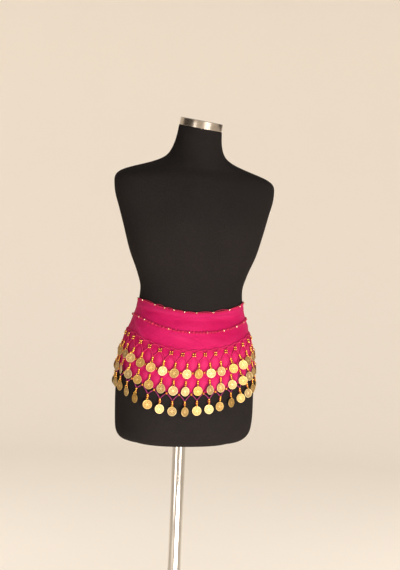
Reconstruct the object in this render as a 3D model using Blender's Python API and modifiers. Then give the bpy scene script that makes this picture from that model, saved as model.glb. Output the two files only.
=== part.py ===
"""Belly dance belt: a chiffon hip scarf with three crochet rows of hanging coins,
tied round a limbless dress form that stands on a pole with a round base.

Metres, +Z up, the form faces -Y, the origin is on the floor under the pole.
An azimuth is measured from the front of the form, positive towards +X."""

import math

import bmesh
import bpy
import numpy as np
from mathutils import Vector

COLLECTION_NAME = "belly_dance_belt"
SEAM_GAP = 0.0003

# Stand
BASE_RADIUS = 0.180
BASE_THICKNESS = 0.008
BASE_EDGE = 0.002
BASE_STEPS = 56
COLLAR_RADIUS = 0.030
COLLAR_TOP_RADIUS = 0.021
COLLAR_HEIGHT = 0.026
COLLAR_STEPS = 32
POLE_RADIUS = 0.0145
POLE_SIDES = 28

# Dress form, one row a section:
# height, half width, depth in front, depth behind, centre, squareness
FORM_SECTIONS = np.array([
    [0.7255, 0.0600, 0.045, 0.047, -0.004, 2.30],
    [0.7275, 0.0970, 0.069, 0.071, -0.006, 2.30],
    [0.7330, 0.1250, 0.088, 0.090, -0.009, 2.30],
    [0.7440, 0.1430, 0.100, 0.102, -0.013, 2.30],
    [0.7640, 0.1520, 0.109, 0.111, -0.018, 2.30],
    [0.8000, 0.1545, 0.112, 0.114, -0.020, 2.30],
    [0.8400, 0.1550, 0.112, 0.115, -0.019, 2.30],
    [0.8800, 0.1540, 0.111, 0.114, -0.019, 2.25],
    [0.9200, 0.1495, 0.108, 0.110, -0.021, 2.20],
    [0.9600, 0.1410, 0.103, 0.102, -0.024, 2.15],
    [1.0000, 0.1285, 0.096, 0.092, -0.027, 2.10],
    [1.0350, 0.1185, 0.089, 0.084, -0.030, 2.10],
    [1.0700, 0.1155, 0.087, 0.081, -0.032, 2.10],
    [1.1000, 0.1240, 0.089, 0.084, -0.033, 2.10],
    [1.1500, 0.1450, 0.095, 0.092, -0.035, 2.15],
    [1.2000, 0.1600, 0.096, 0.099, -0.036, 2.20],
    [1.2400, 0.1725, 0.094, 0.100, -0.035, 2.20],
    [1.2800, 0.1850, 0.087, 0.097, -0.034, 2.20],
    [1.3050, 0.1875, 0.079, 0.091, -0.033, 2.15],
    [1.3200, 0.1765, 0.077, 0.082, -0.026, 2.10],
    [1.3330, 0.1415, 0.079, 0.066, -0.016, 2.00],
    [1.3460, 0.0965, 0.074, 0.058, -0.017, 2.00],
    [1.3620, 0.0655, 0.062, 0.058, -0.027, 2.00],
    [1.3850, 0.0535, 0.052, 0.052, -0.036, 2.00],
    [1.4030, 0.0495, 0.048, 0.048, -0.041, 2.00],
    [1.4230, 0.0472, 0.047, 0.047, -0.045, 2.00],
])
FORM_BOTTOM = FORM_SECTIONS[0, 0]
FORM_TOP = FORM_SECTIONS[-1, 0]
FORM_SIDES = 40
FORM_RINGS_BETWEEN = 35
SECTION_BLEND = 0.007
BUST_RISE = 0.014
BUST_APART = 0.072
BUST_WIDTH = 0.050
BUST_HEIGHT = 1.215
BUST_TALL = 0.048
NECK_FOOT = 1.355
NECK_TILT = math.radians(10.0)
NECK_LEAN = math.radians(5.0)
CAP_THICKNESS = 0.0175
CAP_RADIUS = 0.0470
CAP_EDGE = 0.0012
CAP_SIDES = 40

# Where the rows of the belt lie, one row a line of the belt:
# height where it is lowest, rise to the hips, azimuth where it is lowest
BELT_TURN = math.radians(-10.0)
TOP_EDGE = (1.0190, 0.025, -10.0)
MIDDLE_LINE = (0.9780, 0.033, -10.0)
CLUSTER_ROW = (0.9305, 0.040, -13.0)
UPPER_COINS = (0.9100, 0.042, -14.0)
UPPER_BEADS = (0.8915, 0.044, -15.0)
MIDDLE_COINS = (0.8730, 0.046, -16.0)
LOWER_BEADS = (0.8460, 0.051, -17.0)
LOWER_COINS = (0.8300, 0.054, -18.0)
HEM = (0.8480, 0.049, -15.0)

# Cloth of the belt
CLOTH_GAP = 0.0009
CLOTH_WALL = 0.0013
CLOTH_COLUMNS = 96
CLOTH_ROWS = 9
MEASURING_HEIGHT = 0.885
TAPER_START = 0.392
CLOTH_END = 0.4205
TIE_DEPTH = 0.026
TIE_RISE = 0.0065
# soft folds: azimuth and height where one starts and ends, rise, half width
CLOTH_FOLDS = (
    (-96.0, 1.024, -58.0, 0.963, 0.0030, 0.007),
    (50.0, 1.002, 102.0, 0.984, 0.0022, 0.007),
    (112.0, 1.030, 142.0, 0.986, 0.0026, 0.008),
    (-152.0, 0.986, -118.0, 1.025, 0.0024, 0.008),
)

# Crochet edgings
EDGING_RADIUS = 0.0012
MIDDLE_EDGING_RADIUS = 0.0009
EDGING_POINTS = 80
EDGING_END = 0.415

# Coin net
COLUMN_PITCH = 0.0265
COLUMN_DRIFT = 0.0075
EVEN_HEIGHT = 0.850
COLUMNS = 30
NET_OVER_CLOTH = 0.0027
NET_THICKNESS = 0.0014
CLUSTER_HALF = 0.0026
HEADER_WIDTH = 0.0022
COIN_KNOT_HALF = 0.0018
STEM_HALF = 0.0010
BEAD_KNOT_HALF = 0.0017
STRAND_GAP = 0.0005
COIN_RADIUS = 0.0100
COIN_DROP = 0.0200
COIN_SIDES = 9
COIN_OVER_THREADS = 0.0056
COIN_OVER_FORM = 0.0030
# how far each coin of a row is turned on its stem, in degrees, repeated round the belt
UPPER_TURNS = (-10, 16, 1, 26, 36, 7, 6, -10, 0, -30, -2, -12, -18, 16, 1)
MIDDLE_TURNS = (9, -18, -2, 16, 34, 14, 6, -8, 16, -11, -5, -1, 21, 9, -15)
LOWER_TURNS = (10, 14, -3, -15, 23, 20, 6, -5, -9, 14, 24, -15, -19, 21, -28)

# Tie at the centre back
KNOT_HALF_WIDTH = 0.0160
KNOT_HALF_DEPTH = 0.0105
KNOT_HALF_HEIGHT = 0.0150
KNOT_BELOW_EDGE = 0.014
TAIL_LENGTH = 0.125
TAIL_TOP_WIDTH = 0.012
TAIL_FOOT_WIDTH = 0.026
TAIL_SPREAD = 0.011
TAIL_WALL = 0.0016
TAIL_TOP_LIFT = 0.0070
TAIL_ROWS = 9


def clear_scene():
    """Remove every object that the file opened with."""
    for item in list(bpy.data.objects):
        bpy.data.objects.remove(item, do_unlink=True)


def material(name, colour, roughness, metallic=0.0):
    """Principled material with one colour."""
    made = bpy.data.materials.new(name)
    made.use_nodes = True
    shader = made.node_tree.nodes["Principled BSDF"]
    shader.inputs["Base Color"].default_value = (*colour, 1.0)
    shader.inputs["Roughness"].default_value = roughness
    shader.inputs["Metallic"].default_value = metallic
    return made


def add_object(name, mesh, finish):
    """Put a mesh or curve in the collection with its material."""
    item = bpy.data.objects.new(name, mesh)
    mesh.materials.append(finish)
    bpy.data.collections[COLLECTION_NAME].objects.link(item)
    return item


def mesh_from(name, built):
    """Turn a finished bmesh into a smooth-shaded mesh."""
    mesh = bpy.data.meshes.new(name)
    built.normal_update()
    built.to_mesh(mesh)
    built.free()
    mesh.shade_smooth()
    return mesh


def solidify(item, thickness, offset):
    """Give an open sheet its wall, from its centre (0) or all outside (1)."""
    wall = item.modifiers.new("wall", "SOLIDIFY")
    wall.thickness = thickness
    wall.offset = offset


def turned(name, profile, steps, finish, closed):
    """Turn a profile of radius and height round the Z axis."""
    built = bmesh.new()
    points = [built.verts.new((radius, 0.0, height)) for radius, height in profile]
    for first, second in zip(points, points[1:]):
        built.edges.new((first, second))
    if closed:
        built.edges.new((points[-1], points[0]))
    item = add_object(name, mesh_from(name, built), finish)
    screw = item.modifiers.new("turn", "SCREW")
    screw.steps = steps
    screw.render_steps = steps
    screw.use_merge_vertices = True
    screw.merge_threshold = 0.0001
    return item


def cylinder(name, radius, depth, sides, finish):
    """Capped cylinder standing on its own centre."""
    built = bmesh.new()
    bmesh.ops.create_cone(built, cap_ends=True, segments=sides,
                          radius1=radius, radius2=radius, depth=depth)
    return add_object(name, mesh_from(name, built), finish)


def section_slopes():
    """Slope of each section column at each section, for a curve that never
    overshoots: the harmonic mean of the rates on both sides, or level where
    the rates turn."""
    steps = np.diff(FORM_SECTIONS[:, :1], axis=0)
    rates = np.diff(FORM_SECTIONS[:, 1:], axis=0) / steps
    before, after = rates[:-1], rates[1:]
    turning = before * after <= 0.0
    weight_before = 2.0 * steps[1:] + steps[:-1]
    weight_after = steps[1:] + 2.0 * steps[:-1]
    inverse = weight_before / np.where(turning, 1.0, before)
    inverse = inverse + weight_after / np.where(turning, 1.0, after)
    inverse = np.where(turning, 1.0, inverse)
    middle = np.where(turning, 0.0, (weight_before + weight_after) / inverse)
    return np.vstack([rates[:1], middle, rates[-1:]])


SECTION_SLOPES = section_slopes()


def sharp_section(height):
    """Half width, both depths, centre and squareness of the form at a height,
    by cubic pieces between the sections."""
    heights = FORM_SECTIONS[:, 0]
    last = len(heights) - 2
    row = min(max(int(np.searchsorted(heights, height)) - 1, 0), last)
    span = heights[row + 1] - heights[row]
    t = (height - heights[row]) / span
    start, end = FORM_SECTIONS[row, 1:], FORM_SECTIONS[row + 1, 1:]
    leaving, arriving = SECTION_SLOPES[row] * span, SECTION_SLOPES[row + 1] * span
    return ((2 * t**3 - 3 * t**2 + 1) * start + (t**3 - 2 * t**2 + t) * leaving
            + (3 * t**2 - 2 * t**3) * end + (t**3 - t**2) * arriving)


def section(height):
    """The section at a height, blended with those a little below and above it."""
    reach = min(SECTION_BLEND, height - FORM_BOTTOM, FORM_TOP - height)
    around = sharp_section(height - reach) + sharp_section(height + reach)
    return (2.0 * sharp_section(height) + around) / 4.0


def smooth_step(value):
    """Ease from 0 to 1 as the value goes from 0 to 1."""
    value = min(max(value, 0.0), 1.0)
    return value * value * (3.0 - 2.0 * value)


def bust(x, height):
    """Forward rise of the chest, one soft mound on each side."""
    across = (abs(x) - BUST_APART) / BUST_WIDTH
    up = (height - BUST_HEIGHT) / BUST_TALL
    return BUST_RISE * math.exp(-across * across - up * up)


def form_point(azimuth, height, lift=0.0):
    """Point of the form's surface, moved out by the lift. The neck's rings
    lean until they lie in the plane of its cap."""
    half_width, front, back, centre, square = section(height)
    sine, cosine = math.sin(azimuth), math.cos(azimuth)
    depth = front if cosine > 0.0 else back
    x = (half_width + lift) * math.copysign(abs(sine) ** (2.0 / square), sine)
    reach = (depth + lift) * math.copysign(abs(cosine) ** (2.0 / square), cosine)
    y = centre - reach - bust(x, height) * max(cosine, 0.0)
    lean = smooth_step((height - NECK_FOOT) / (FORM_TOP - NECK_FOOT))
    slope = math.tan(NECK_TILT) * (y - centre) - math.tan(NECK_LEAN) * x
    return Vector((x, y, height + slope * lean))


def belt_rule():
    """Table of azimuths against distances along the hips from the belt's
    middle, so that columns lie at equal distances."""
    azimuths = BELT_TURN + np.radians(np.arange(-200.0, 200.5, 0.5))
    points = [form_point(azimuth, MEASURING_HEIGHT, CLOTH_GAP + NET_OVER_CLOTH) for azimuth in azimuths]
    steps = [(after - before).length for before, after in zip(points, points[1:])]
    distances = np.concatenate([[0.0], np.cumsum(steps)])
    distances = distances - np.interp(BELT_TURN, azimuths, distances)
    turn = np.interp([BELT_TURN - math.pi, BELT_TURN + math.pi], azimuths, distances)
    return azimuths, distances, (turn[1] - turn[0]) / 2.0


RULE_AZIMUTHS, RULE_DISTANCES, HALF_GIRTH = belt_rule()


def belt_azimuth(distance):
    """Azimuth at a distance along the belt from its middle."""
    return float(np.interp(distance, RULE_DISTANCES, RULE_AZIMUTHS))


def row_height(row, distance):
    """Height of a belt row: lowest near the front, level behind the hips."""
    lowest, rise, middle = row
    away = min(abs(belt_azimuth(distance) - math.radians(middle)), math.pi / 2.0)
    return lowest + rise * math.sin(away) ** 2


def column_distance(row, column):
    """Distance of a column of a net row from the belt's middle. The net is
    pulled over at both hips, the more the higher a row lies."""
    drift = COLUMN_DRIFT * (row[0] - EVEN_HEIGHT) / (CLUSTER_ROW[0] - EVEN_HEIGHT)
    return column * COLUMN_PITCH + drift * math.sin(2.0 * math.pi * column / COLUMNS) ** 2


def taper(distance):
    """0 along the belt, 1 where its ends are drawn into the tie."""
    return smooth_step((abs(distance) - TAPER_START) / (CLOTH_END - TAPER_START))


def fold_rise(azimuth, height):
    """Sum of the soft folds at a place: each is a ridge with a bell section
    that fades out at its two ends."""
    rise = 0.0
    reach = section(MEASURING_HEIGHT)[0]
    for start, start_height, end, end_height, high, half_width in CLOTH_FOLDS:
        run = Vector((math.radians(end - start) * reach, end_height - start_height))
        place = Vector(((azimuth - math.radians(start)) * reach, height - start_height))
        along = place.dot(run) / run.length_squared
        aside = (place - run * along).length / half_width
        fade = math.sin(math.pi * min(max(along, 0.0), 1.0))
        rise += high * fade * math.exp(-aside * aside)
    return rise


def cloth_point(distance, height, lift):
    """Point at a lift over the cloth's inner face, folds and tie ends included."""
    azimuth = belt_azimuth(distance)
    rise = fold_rise(azimuth, height) + TIE_RISE * taper(distance)
    return form_point(azimuth, height, CLOTH_GAP + rise + lift)


def grid_sheet(name, points, finish):
    """Open sheet through rows of points, facing outwards."""
    built = bmesh.new()
    rows = [[built.verts.new(point) for point in row] for row in points]
    for lower, upper in zip(rows, rows[1:]):
        for left in range(len(lower) - 1):
            right = left + 1
            built.faces.new((lower[left], lower[right], upper[right], upper[left]))
    return add_object(name, mesh_from(name, built), finish)


def make_stand(steel, chrome):
    """Round base, collar round the foot of the pole, and the pole."""
    base_top = BASE_THICKNESS
    profile = ((0.0, base_top), (BASE_RADIUS - BASE_EDGE, base_top),
               (BASE_RADIUS, base_top - BASE_EDGE), (BASE_RADIUS, 0.0), (0.0, 0.0))
    turned("base_disc", profile, BASE_STEPS, steel, closed=False)

    bore = POLE_RADIUS + SEAM_GAP
    foot = base_top + SEAM_GAP
    head = foot + COLLAR_HEIGHT
    profile = ((bore, head), (COLLAR_TOP_RADIUS, head),
               (COLLAR_RADIUS, foot + COLLAR_HEIGHT / 3.0), (COLLAR_RADIUS, foot), (bore, foot))
    turned("base_collar", profile, COLLAR_STEPS, chrome, closed=True)

    pole_top = FORM_BOTTOM - SEAM_GAP
    pole = cylinder("stand_pole", POLE_RADIUS, pole_top - foot, POLE_SIDES, chrome)
    pole.location.z = (pole_top + foot) / 2.0


def make_form(jersey, steel):
    """Limbless form lofted through its sections, and the cap on its neck."""
    between = np.linspace(FORM_BOTTOM, FORM_TOP, FORM_RINGS_BETWEEN)
    rim = FORM_SECTIONS[:4, 0]
    shoulder = FORM_SECTIONS[17:23, 0]
    heights = np.unique(np.round(np.concatenate([rim, between[2:], shoulder]), 4))
    spread = np.diff(heights, prepend=heights[0] - 1.0) > 0.0018
    built = bmesh.new()
    rings = []
    for height in heights[spread]:
        turns = [2.0 * math.pi * side / FORM_SIDES for side in range(FORM_SIDES)]
        rings.append([built.verts.new(form_point(turn, height)) for turn in turns])
    for lower, upper in zip(rings, rings[1:]):
        for left in range(FORM_SIDES):
            right = (left + 1) % FORM_SIDES
            built.faces.new((lower[left], lower[right], upper[right], upper[left]))
    built.faces.new(reversed(rings[0]))
    built.faces.new(rings[-1])
    add_object("dress_form", mesh_from("dress_form", built), jersey)

    front, back = form_point(0.0, FORM_TOP), form_point(math.pi, FORM_TOP)
    outward = Vector((math.tan(NECK_LEAN), -math.tan(NECK_TILT), 1.0)).normalized()
    cap = cylinder("neck_cap", CAP_RADIUS, CAP_THICKNESS, CAP_SIDES, steel)
    cap.location = (front + back) / 2.0 + outward * (CAP_THICKNESS / 2.0 + SEAM_GAP)
    cap.rotation_euler = outward.to_track_quat("Z", "Y").to_euler()
    edge = cap.modifiers.new("edge", "BEVEL")
    edge.width = CAP_EDGE
    edge.segments = 1
    edge.limit_method = "ANGLE"


def make_cloth(chiffon):
    """Cloth of the belt: a band from the top edge to the hem whose ends
    narrow to the tie at the back."""
    points = []
    for row in range(CLOTH_ROWS + 1):
        line = []
        for distance in np.linspace(-CLOTH_END, CLOTH_END, CLOTH_COLUMNS + 1):
            top = row_height(TOP_EDGE, distance)
            hem = row_height(HEM, distance)
            hem += (top - TIE_DEPTH - hem) * taper(distance)
            height = hem + (top - hem) * row / CLOTH_ROWS
            line.append(cloth_point(distance, height, 0.0))
        points.append(line)
    solidify(grid_sheet("belt_cloth", points, chiffon), CLOTH_WALL, 1.0)


def edging(name, row, reach, above, lift, radius, thread):
    """Crochet edging: a thin cord along a row of the belt."""
    curve = bpy.data.curves.new(name, "CURVE")
    curve.dimensions = "3D"
    curve.bevel_depth = radius
    curve.bevel_resolution = 0
    curve.use_fill_caps = True
    spline = curve.splines.new("POLY")
    spline.points.add(EDGING_POINTS - 1)
    for point, distance in zip(spline.points, np.linspace(-reach, reach, EDGING_POINTS)):
        height = row_height(row, distance) + above
        point.co = (*cloth_point(distance, height, lift), 1.0)
    add_object(name, curve, thread)


def make_edgings(thread):
    """Cord on the top edge, and the beaded line across the cloth."""
    over_edge = EDGING_RADIUS + 2.0 * SEAM_GAP
    edging("top_edging", TOP_EDGE, EDGING_END, over_edge, CLOTH_WALL, EDGING_RADIUS, thread)
    on_cloth = CLOTH_WALL + MIDDLE_EDGING_RADIUS + 2.0 * SEAM_GAP
    edging("middle_edging", MIDDLE_LINE, TAPER_START, 0.0, on_cloth,
           MIDDLE_EDGING_RADIUS, thread)


def knot_corners(built, distance, height, outline):
    """Corners of a flat knot of the net, each so far across and up."""
    corners = []
    for across, up in outline:
        place = cloth_point(distance + across, height + up, NET_OVER_CLOTH)
        corners.append(built.verts.new(place))
    return corners


def cluster_outline():
    """Square under a bead cluster, with places for the header and two strands."""
    half, inner = CLUSTER_HALF, CLUSTER_HALF - HEADER_WIDTH
    return ((-half, half), (-half, inner), (-half, -half), (0.0, -half),
            (half, -half), (half, inner), (half, half))


def coin_knot_outline():
    """Five corners: top, left, both sides of the stem, right."""
    half = COIN_KNOT_HALF
    return ((0.0, half), (-half, 0.0), (-STEM_HALF, -half), (STEM_HALF, -half), (half, 0.0))


def bead_knot_outline():
    """Four corners: top, left, bottom, right."""
    half = BEAD_KNOT_HALF
    return ((0.0, half), (-half, 0.0), (0.0, -half), (half, 0.0))


def strand_end_outline(side):
    """End of a strand that meets a coin knot from below, just clear of it:
    side -1 is the knot's left, 1 its right. The corner by the stem is first."""
    edge = Vector((COIN_KNOT_HALF - STEM_HALF, COIN_KNOT_HALF))
    away = Vector((edge.y, -edge.x)).normalized() * STRAND_GAP
    stem = Vector((STEM_HALF, -COIN_KNOT_HALF)) + away
    outer = Vector((COIN_KNOT_HALF, 0.0)) + away
    return ((side * stem.x, stem.y), (side * outer.x, outer.y))


def add_coin(built, knot, distance, height, lift, turn):
    """Stem and coin under a knot. The coin lies along the slope of the form,
    turned on its stem and far enough out for its inner edge to clear."""
    azimuth = belt_azimuth(distance)
    out = lift + COIN_RADIUS * abs(math.sin(turn))
    level = height - COIN_DROP
    centre = form_point(azimuth, level, out)
    above = form_point(azimuth, level + COIN_RADIUS, out)
    below = form_point(azimuth, level - COIN_RADIUS, out)
    up = (above - below).normalized()
    aside = form_point(azimuth + 0.01, level, out) - form_point(azimuth - 0.01, level, out)
    aside.normalize()
    face = aside * math.cos(turn) + aside.cross(up) * math.sin(turn)
    opening = math.asin(STEM_HALF / COIN_RADIUS)
    step = 2.0 * (math.pi - opening) / COIN_SIDES
    rim = []
    for corner in range(COIN_SIDES + 1):
        angle = math.pi / 2.0 + opening + step * corner
        spoke = face * math.cos(angle) + up * math.sin(angle)
        rim.append(built.verts.new(centre + spoke * COIN_RADIUS))
    built.faces.new(rim)
    built.faces.new((knot[2], rim[0], rim[-1], knot[3]))


def coin_row(built, count, row, lift, turns):
    """Coin knots of a row with their stems and coins, by column number."""
    knots = {}
    for column in range(-count // 2, count // 2):
        distance = column_distance(row, column + 0.5)
        height = row_height(row, distance)
        knot = knot_corners(built, distance, height, coin_knot_outline())
        built.faces.new(knot)
        turn = math.radians(turns[column % len(turns)])
        add_coin(built, knot, distance, height, lift, turn)
        knots[column] = knot
    return knots


def finish_row(name, built, thread):
    """Close a row of the net into one body."""
    solidify(add_object(name, mesh_from(name, built), thread), NET_THICKNESS, 0.0)


def make_upper_row(gold):
    """Header with its bead clusters, two strands from each to the coins."""
    built = bmesh.new()
    coins = coin_row(built, COLUMNS, UPPER_COINS, COIN_OVER_THREADS, UPPER_TURNS)
    before = None
    for place in range(-COLUMNS // 2, COLUMNS // 2 + 1):
        distance = column_distance(CLUSTER_ROW, place)
        height = row_height(CLUSTER_ROW, distance)
        cluster = knot_corners(built, distance, height, cluster_outline())
        built.faces.new(cluster)
        if place - 1 in coins:
            coin = coins[place - 1]
            built.faces.new((cluster[2], coin[0], coin[4], cluster[3]))
        if place in coins:
            coin = coins[place]
            built.faces.new((cluster[3], coin[1], coin[0], cluster[4]))
        if before:
            built.faces.new((before[5], cluster[1], cluster[0], before[6]))
        before = cluster
    finish_row("coin_row_upper", built, gold)


def make_hanging_row(name, count, held_by, beads, coins_at, lift, turns, gold):
    """Row that hangs from the coin knots above it: a strand up from each bead
    knot to the knot on either side, and a strand down to the coins."""
    built = bmesh.new()
    coins = coin_row(built, count, coins_at, lift, turns)
    for place in range(-count // 2, count // 2 + 1):
        distance = column_distance(beads, place)
        bead = knot_corners(built, distance, row_height(beads, distance), bead_knot_outline())
        built.faces.new(bead)
        if place - 1 in coins:
            coin = coins[place - 1]
            built.faces.new((bead[1], coin[0], coin[4], bead[2]))
        if place in coins:
            coin = coins[place]
            built.faces.new((bead[2], coin[1], coin[0], bead[3]))
        left = column_distance(held_by, place - 0.5)
        end = knot_corners(built, left, row_height(held_by, left), strand_end_outline(1))
        built.faces.new((bead[1], bead[0], end[1], end[0]))
        right = column_distance(held_by, place + 0.5)
        end = knot_corners(built, right, row_height(held_by, right), strand_end_outline(-1))
        built.faces.new((bead[0], bead[3], end[0], end[1]))
    finish_row(name, built, gold)


def make_tie(chiffon):
    """Knot at the centre back and the two tails that hang from it."""
    azimuth = belt_azimuth(HALF_GIRTH)
    height = row_height(TOP_EDGE, HALF_GIRTH) - KNOT_BELOW_EDGE
    built = bmesh.new()
    bmesh.ops.create_uvsphere(built, u_segments=16, v_segments=9, radius=1.0)
    for corner in built.verts:
        corner.co.x *= KNOT_HALF_WIDTH
        corner.co.y *= KNOT_HALF_DEPTH
        corner.co.z *= KNOT_HALF_HEIGHT
    knot = add_object("tie_knot", mesh_from("tie_knot", built), chiffon)
    knot.location = form_point(azimuth, height, KNOT_HALF_DEPTH + 5.0 * SEAM_GAP)
    knot.rotation_euler.z = azimuth

    top = height - KNOT_HALF_HEIGHT - SEAM_GAP
    for name, side in (("tie_tail_left", 1.0), ("tie_tail_right", -1.0)):
        points = []
        for row in range(TAIL_ROWS, -1, -1):
            down = row / TAIL_ROWS
            width = TAIL_TOP_WIDTH + (TAIL_FOOT_WIDTH - TAIL_TOP_WIDTH) * down
            middle = side * (TAIL_TOP_WIDTH / 2.0 + 0.002 + TAIL_SPREAD * down)
            level = top - TAIL_LENGTH * down
            lift = CLOTH_GAP + TAIL_TOP_LIFT * (1.0 - smooth_step(down * 3.0))
            line = []
            for across in (-0.5, 0.0, 0.5):
                place = HALF_GIRTH + middle + width * across
                line.append(form_point(belt_azimuth(place - 2.0 * HALF_GIRTH), level, lift))
            points.append(line)
        solidify(grid_sheet(name, points, chiffon), TAIL_WALL, 1.0)


def main():
    """Build the stand, the form and the belt on it."""
    clear_scene()
    collection = bpy.data.collections.new(COLLECTION_NAME)
    bpy.context.scene.collection.children.link(collection)
    steel = material("brushed_steel", (0.62, 0.58, 0.54), 0.35, 1.0)
    chrome = material("polished_steel", (0.75, 0.74, 0.72), 0.15, 1.0)
    jersey = material("black_jersey", (0.020, 0.018, 0.017), 0.90)
    chiffon = material("pink_chiffon", (0.80, 0.02, 0.16), 0.60)
    thread = material("magenta_thread", (0.30, 0.02, 0.10), 0.75)
    gold = material("gold_coins", (0.90, 0.66, 0.30), 0.28, 1.0)
    make_stand(steel, chrome)
    make_form(jersey, steel)
    make_cloth(chiffon)
    make_edgings(thread)
    make_upper_row(gold)
    make_hanging_row("coin_row_middle", COLUMNS - 2, UPPER_COINS, UPPER_BEADS,
                     MIDDLE_COINS, COIN_OVER_THREADS, MIDDLE_TURNS, gold)
    make_hanging_row("coin_row_lower", COLUMNS - 4, MIDDLE_COINS, LOWER_BEADS,
                     LOWER_COINS, COIN_OVER_FORM, LOWER_TURNS, gold)
    make_tie(chiffon)


main()
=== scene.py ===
"""Belly dance belt on a dress form: the finished look of every piece, built round the fixed frame.

Metres, +Z up, the form faces -Y. An azimuth is measured from the front of the form, positive
towards +X. A distance along the belt is measured from its middle, positive towards +X."""

import math

import bpy
import numpy as np
from mathutils import Matrix, Vector


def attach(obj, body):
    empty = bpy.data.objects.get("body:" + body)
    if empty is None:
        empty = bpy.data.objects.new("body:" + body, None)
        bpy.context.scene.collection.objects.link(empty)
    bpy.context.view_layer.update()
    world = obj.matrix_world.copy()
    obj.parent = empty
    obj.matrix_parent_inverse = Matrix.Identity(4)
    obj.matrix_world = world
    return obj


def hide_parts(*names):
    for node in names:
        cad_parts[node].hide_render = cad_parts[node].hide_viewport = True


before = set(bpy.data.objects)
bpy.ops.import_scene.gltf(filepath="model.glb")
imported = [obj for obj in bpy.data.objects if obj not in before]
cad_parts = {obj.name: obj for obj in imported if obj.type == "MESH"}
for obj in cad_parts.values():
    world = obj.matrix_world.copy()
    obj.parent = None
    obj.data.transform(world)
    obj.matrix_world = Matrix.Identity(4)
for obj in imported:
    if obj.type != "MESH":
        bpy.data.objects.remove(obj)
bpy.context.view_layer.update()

# Camera
# It stands three metres away on the form's right hand side, at the height of the waist, looks level,
# and is held a little out of true, so that the form leans to the right in the picture.
CAMERA_TURN = math.radians(24.0)
CAMERA_LEAN = math.radians(2.4)
CAMERA_DISTANCE = 3.0
CAMERA_ASIDE = 0.0315
CAMERA_HEIGHT = 1.08
PICTURE_HEIGHT_PIXELS = 570
FOCAL_LENGTH_PIXELS = 1350
SENSOR = 36.0
CAMERA_FAR = 60.0


def placed(name, data):
    """An object of the scene for the data of a camera, a mesh or a light."""
    made = bpy.data.objects.new(name, data)
    bpy.context.scene.collection.objects.link(made)
    return made


view_forward = Vector((math.sin(CAMERA_TURN), math.cos(CAMERA_TURN), 0.0))
view_aside = Vector((math.cos(CAMERA_TURN), -math.sin(CAMERA_TURN), 0.0))
view_up = Vector((0.0, 0.0, 1.0))
camera_right = view_aside * math.cos(CAMERA_LEAN) + view_up * math.sin(CAMERA_LEAN)
camera_top = view_up * math.cos(CAMERA_LEAN) - view_aside * math.sin(CAMERA_LEAN)
camera_place = view_aside * CAMERA_ASIDE - view_forward * CAMERA_DISTANCE + view_up * CAMERA_HEIGHT

camera = placed("camera", bpy.data.cameras.new("camera"))
camera.data.sensor_width = SENSOR
camera.data.lens = SENSOR * FOCAL_LENGTH_PIXELS / PICTURE_HEIGHT_PIXELS
camera.data.clip_end = CAMERA_FAR
turn = Matrix((camera_right, camera_top, -view_forward)).transposed()
camera.matrix_world = Matrix.Translation(camera_place) @ turn.to_4x4()
bpy.context.scene.camera = camera

# Round base
# A heavy steel plate that the pole stands on. It is turned, its upper edge is rounded over, and its
# top is brushed in fine circles and left satin.
BASE_RADIUS = 0.180
BASE_THICKNESS = 0.008
BASE_ROUND = 0.0022
EDGE_SUPPORT = 0.0006
EDGE_STEPS = 7
BASE_STEPS = 180
BRUSH_LINES = 1800.0
BRUSH_DEPTH = 0.00006
STEEL = (0.56, 0.53, 0.49, 1.0)


class Wire:
    """An output of a node. Arithmetic with it adds a Math node and gives that node's output."""

    def __init__(self, finish, socket):
        self.finish = finish
        self.socket = socket

    def __add__(self, other):
        return self.finish.math("ADD", self, other)

    def __sub__(self, other):
        return self.finish.math("SUBTRACT", self, other)

    def __rsub__(self, other):
        return self.finish.math("SUBTRACT", other, self)

    def __mul__(self, other):
        return self.finish.math("MULTIPLY", self, other)

    def __pow__(self, other):
        return self.finish.math("POWER", self, other)

    __radd__ = __add__
    __rmul__ = __mul__


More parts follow.
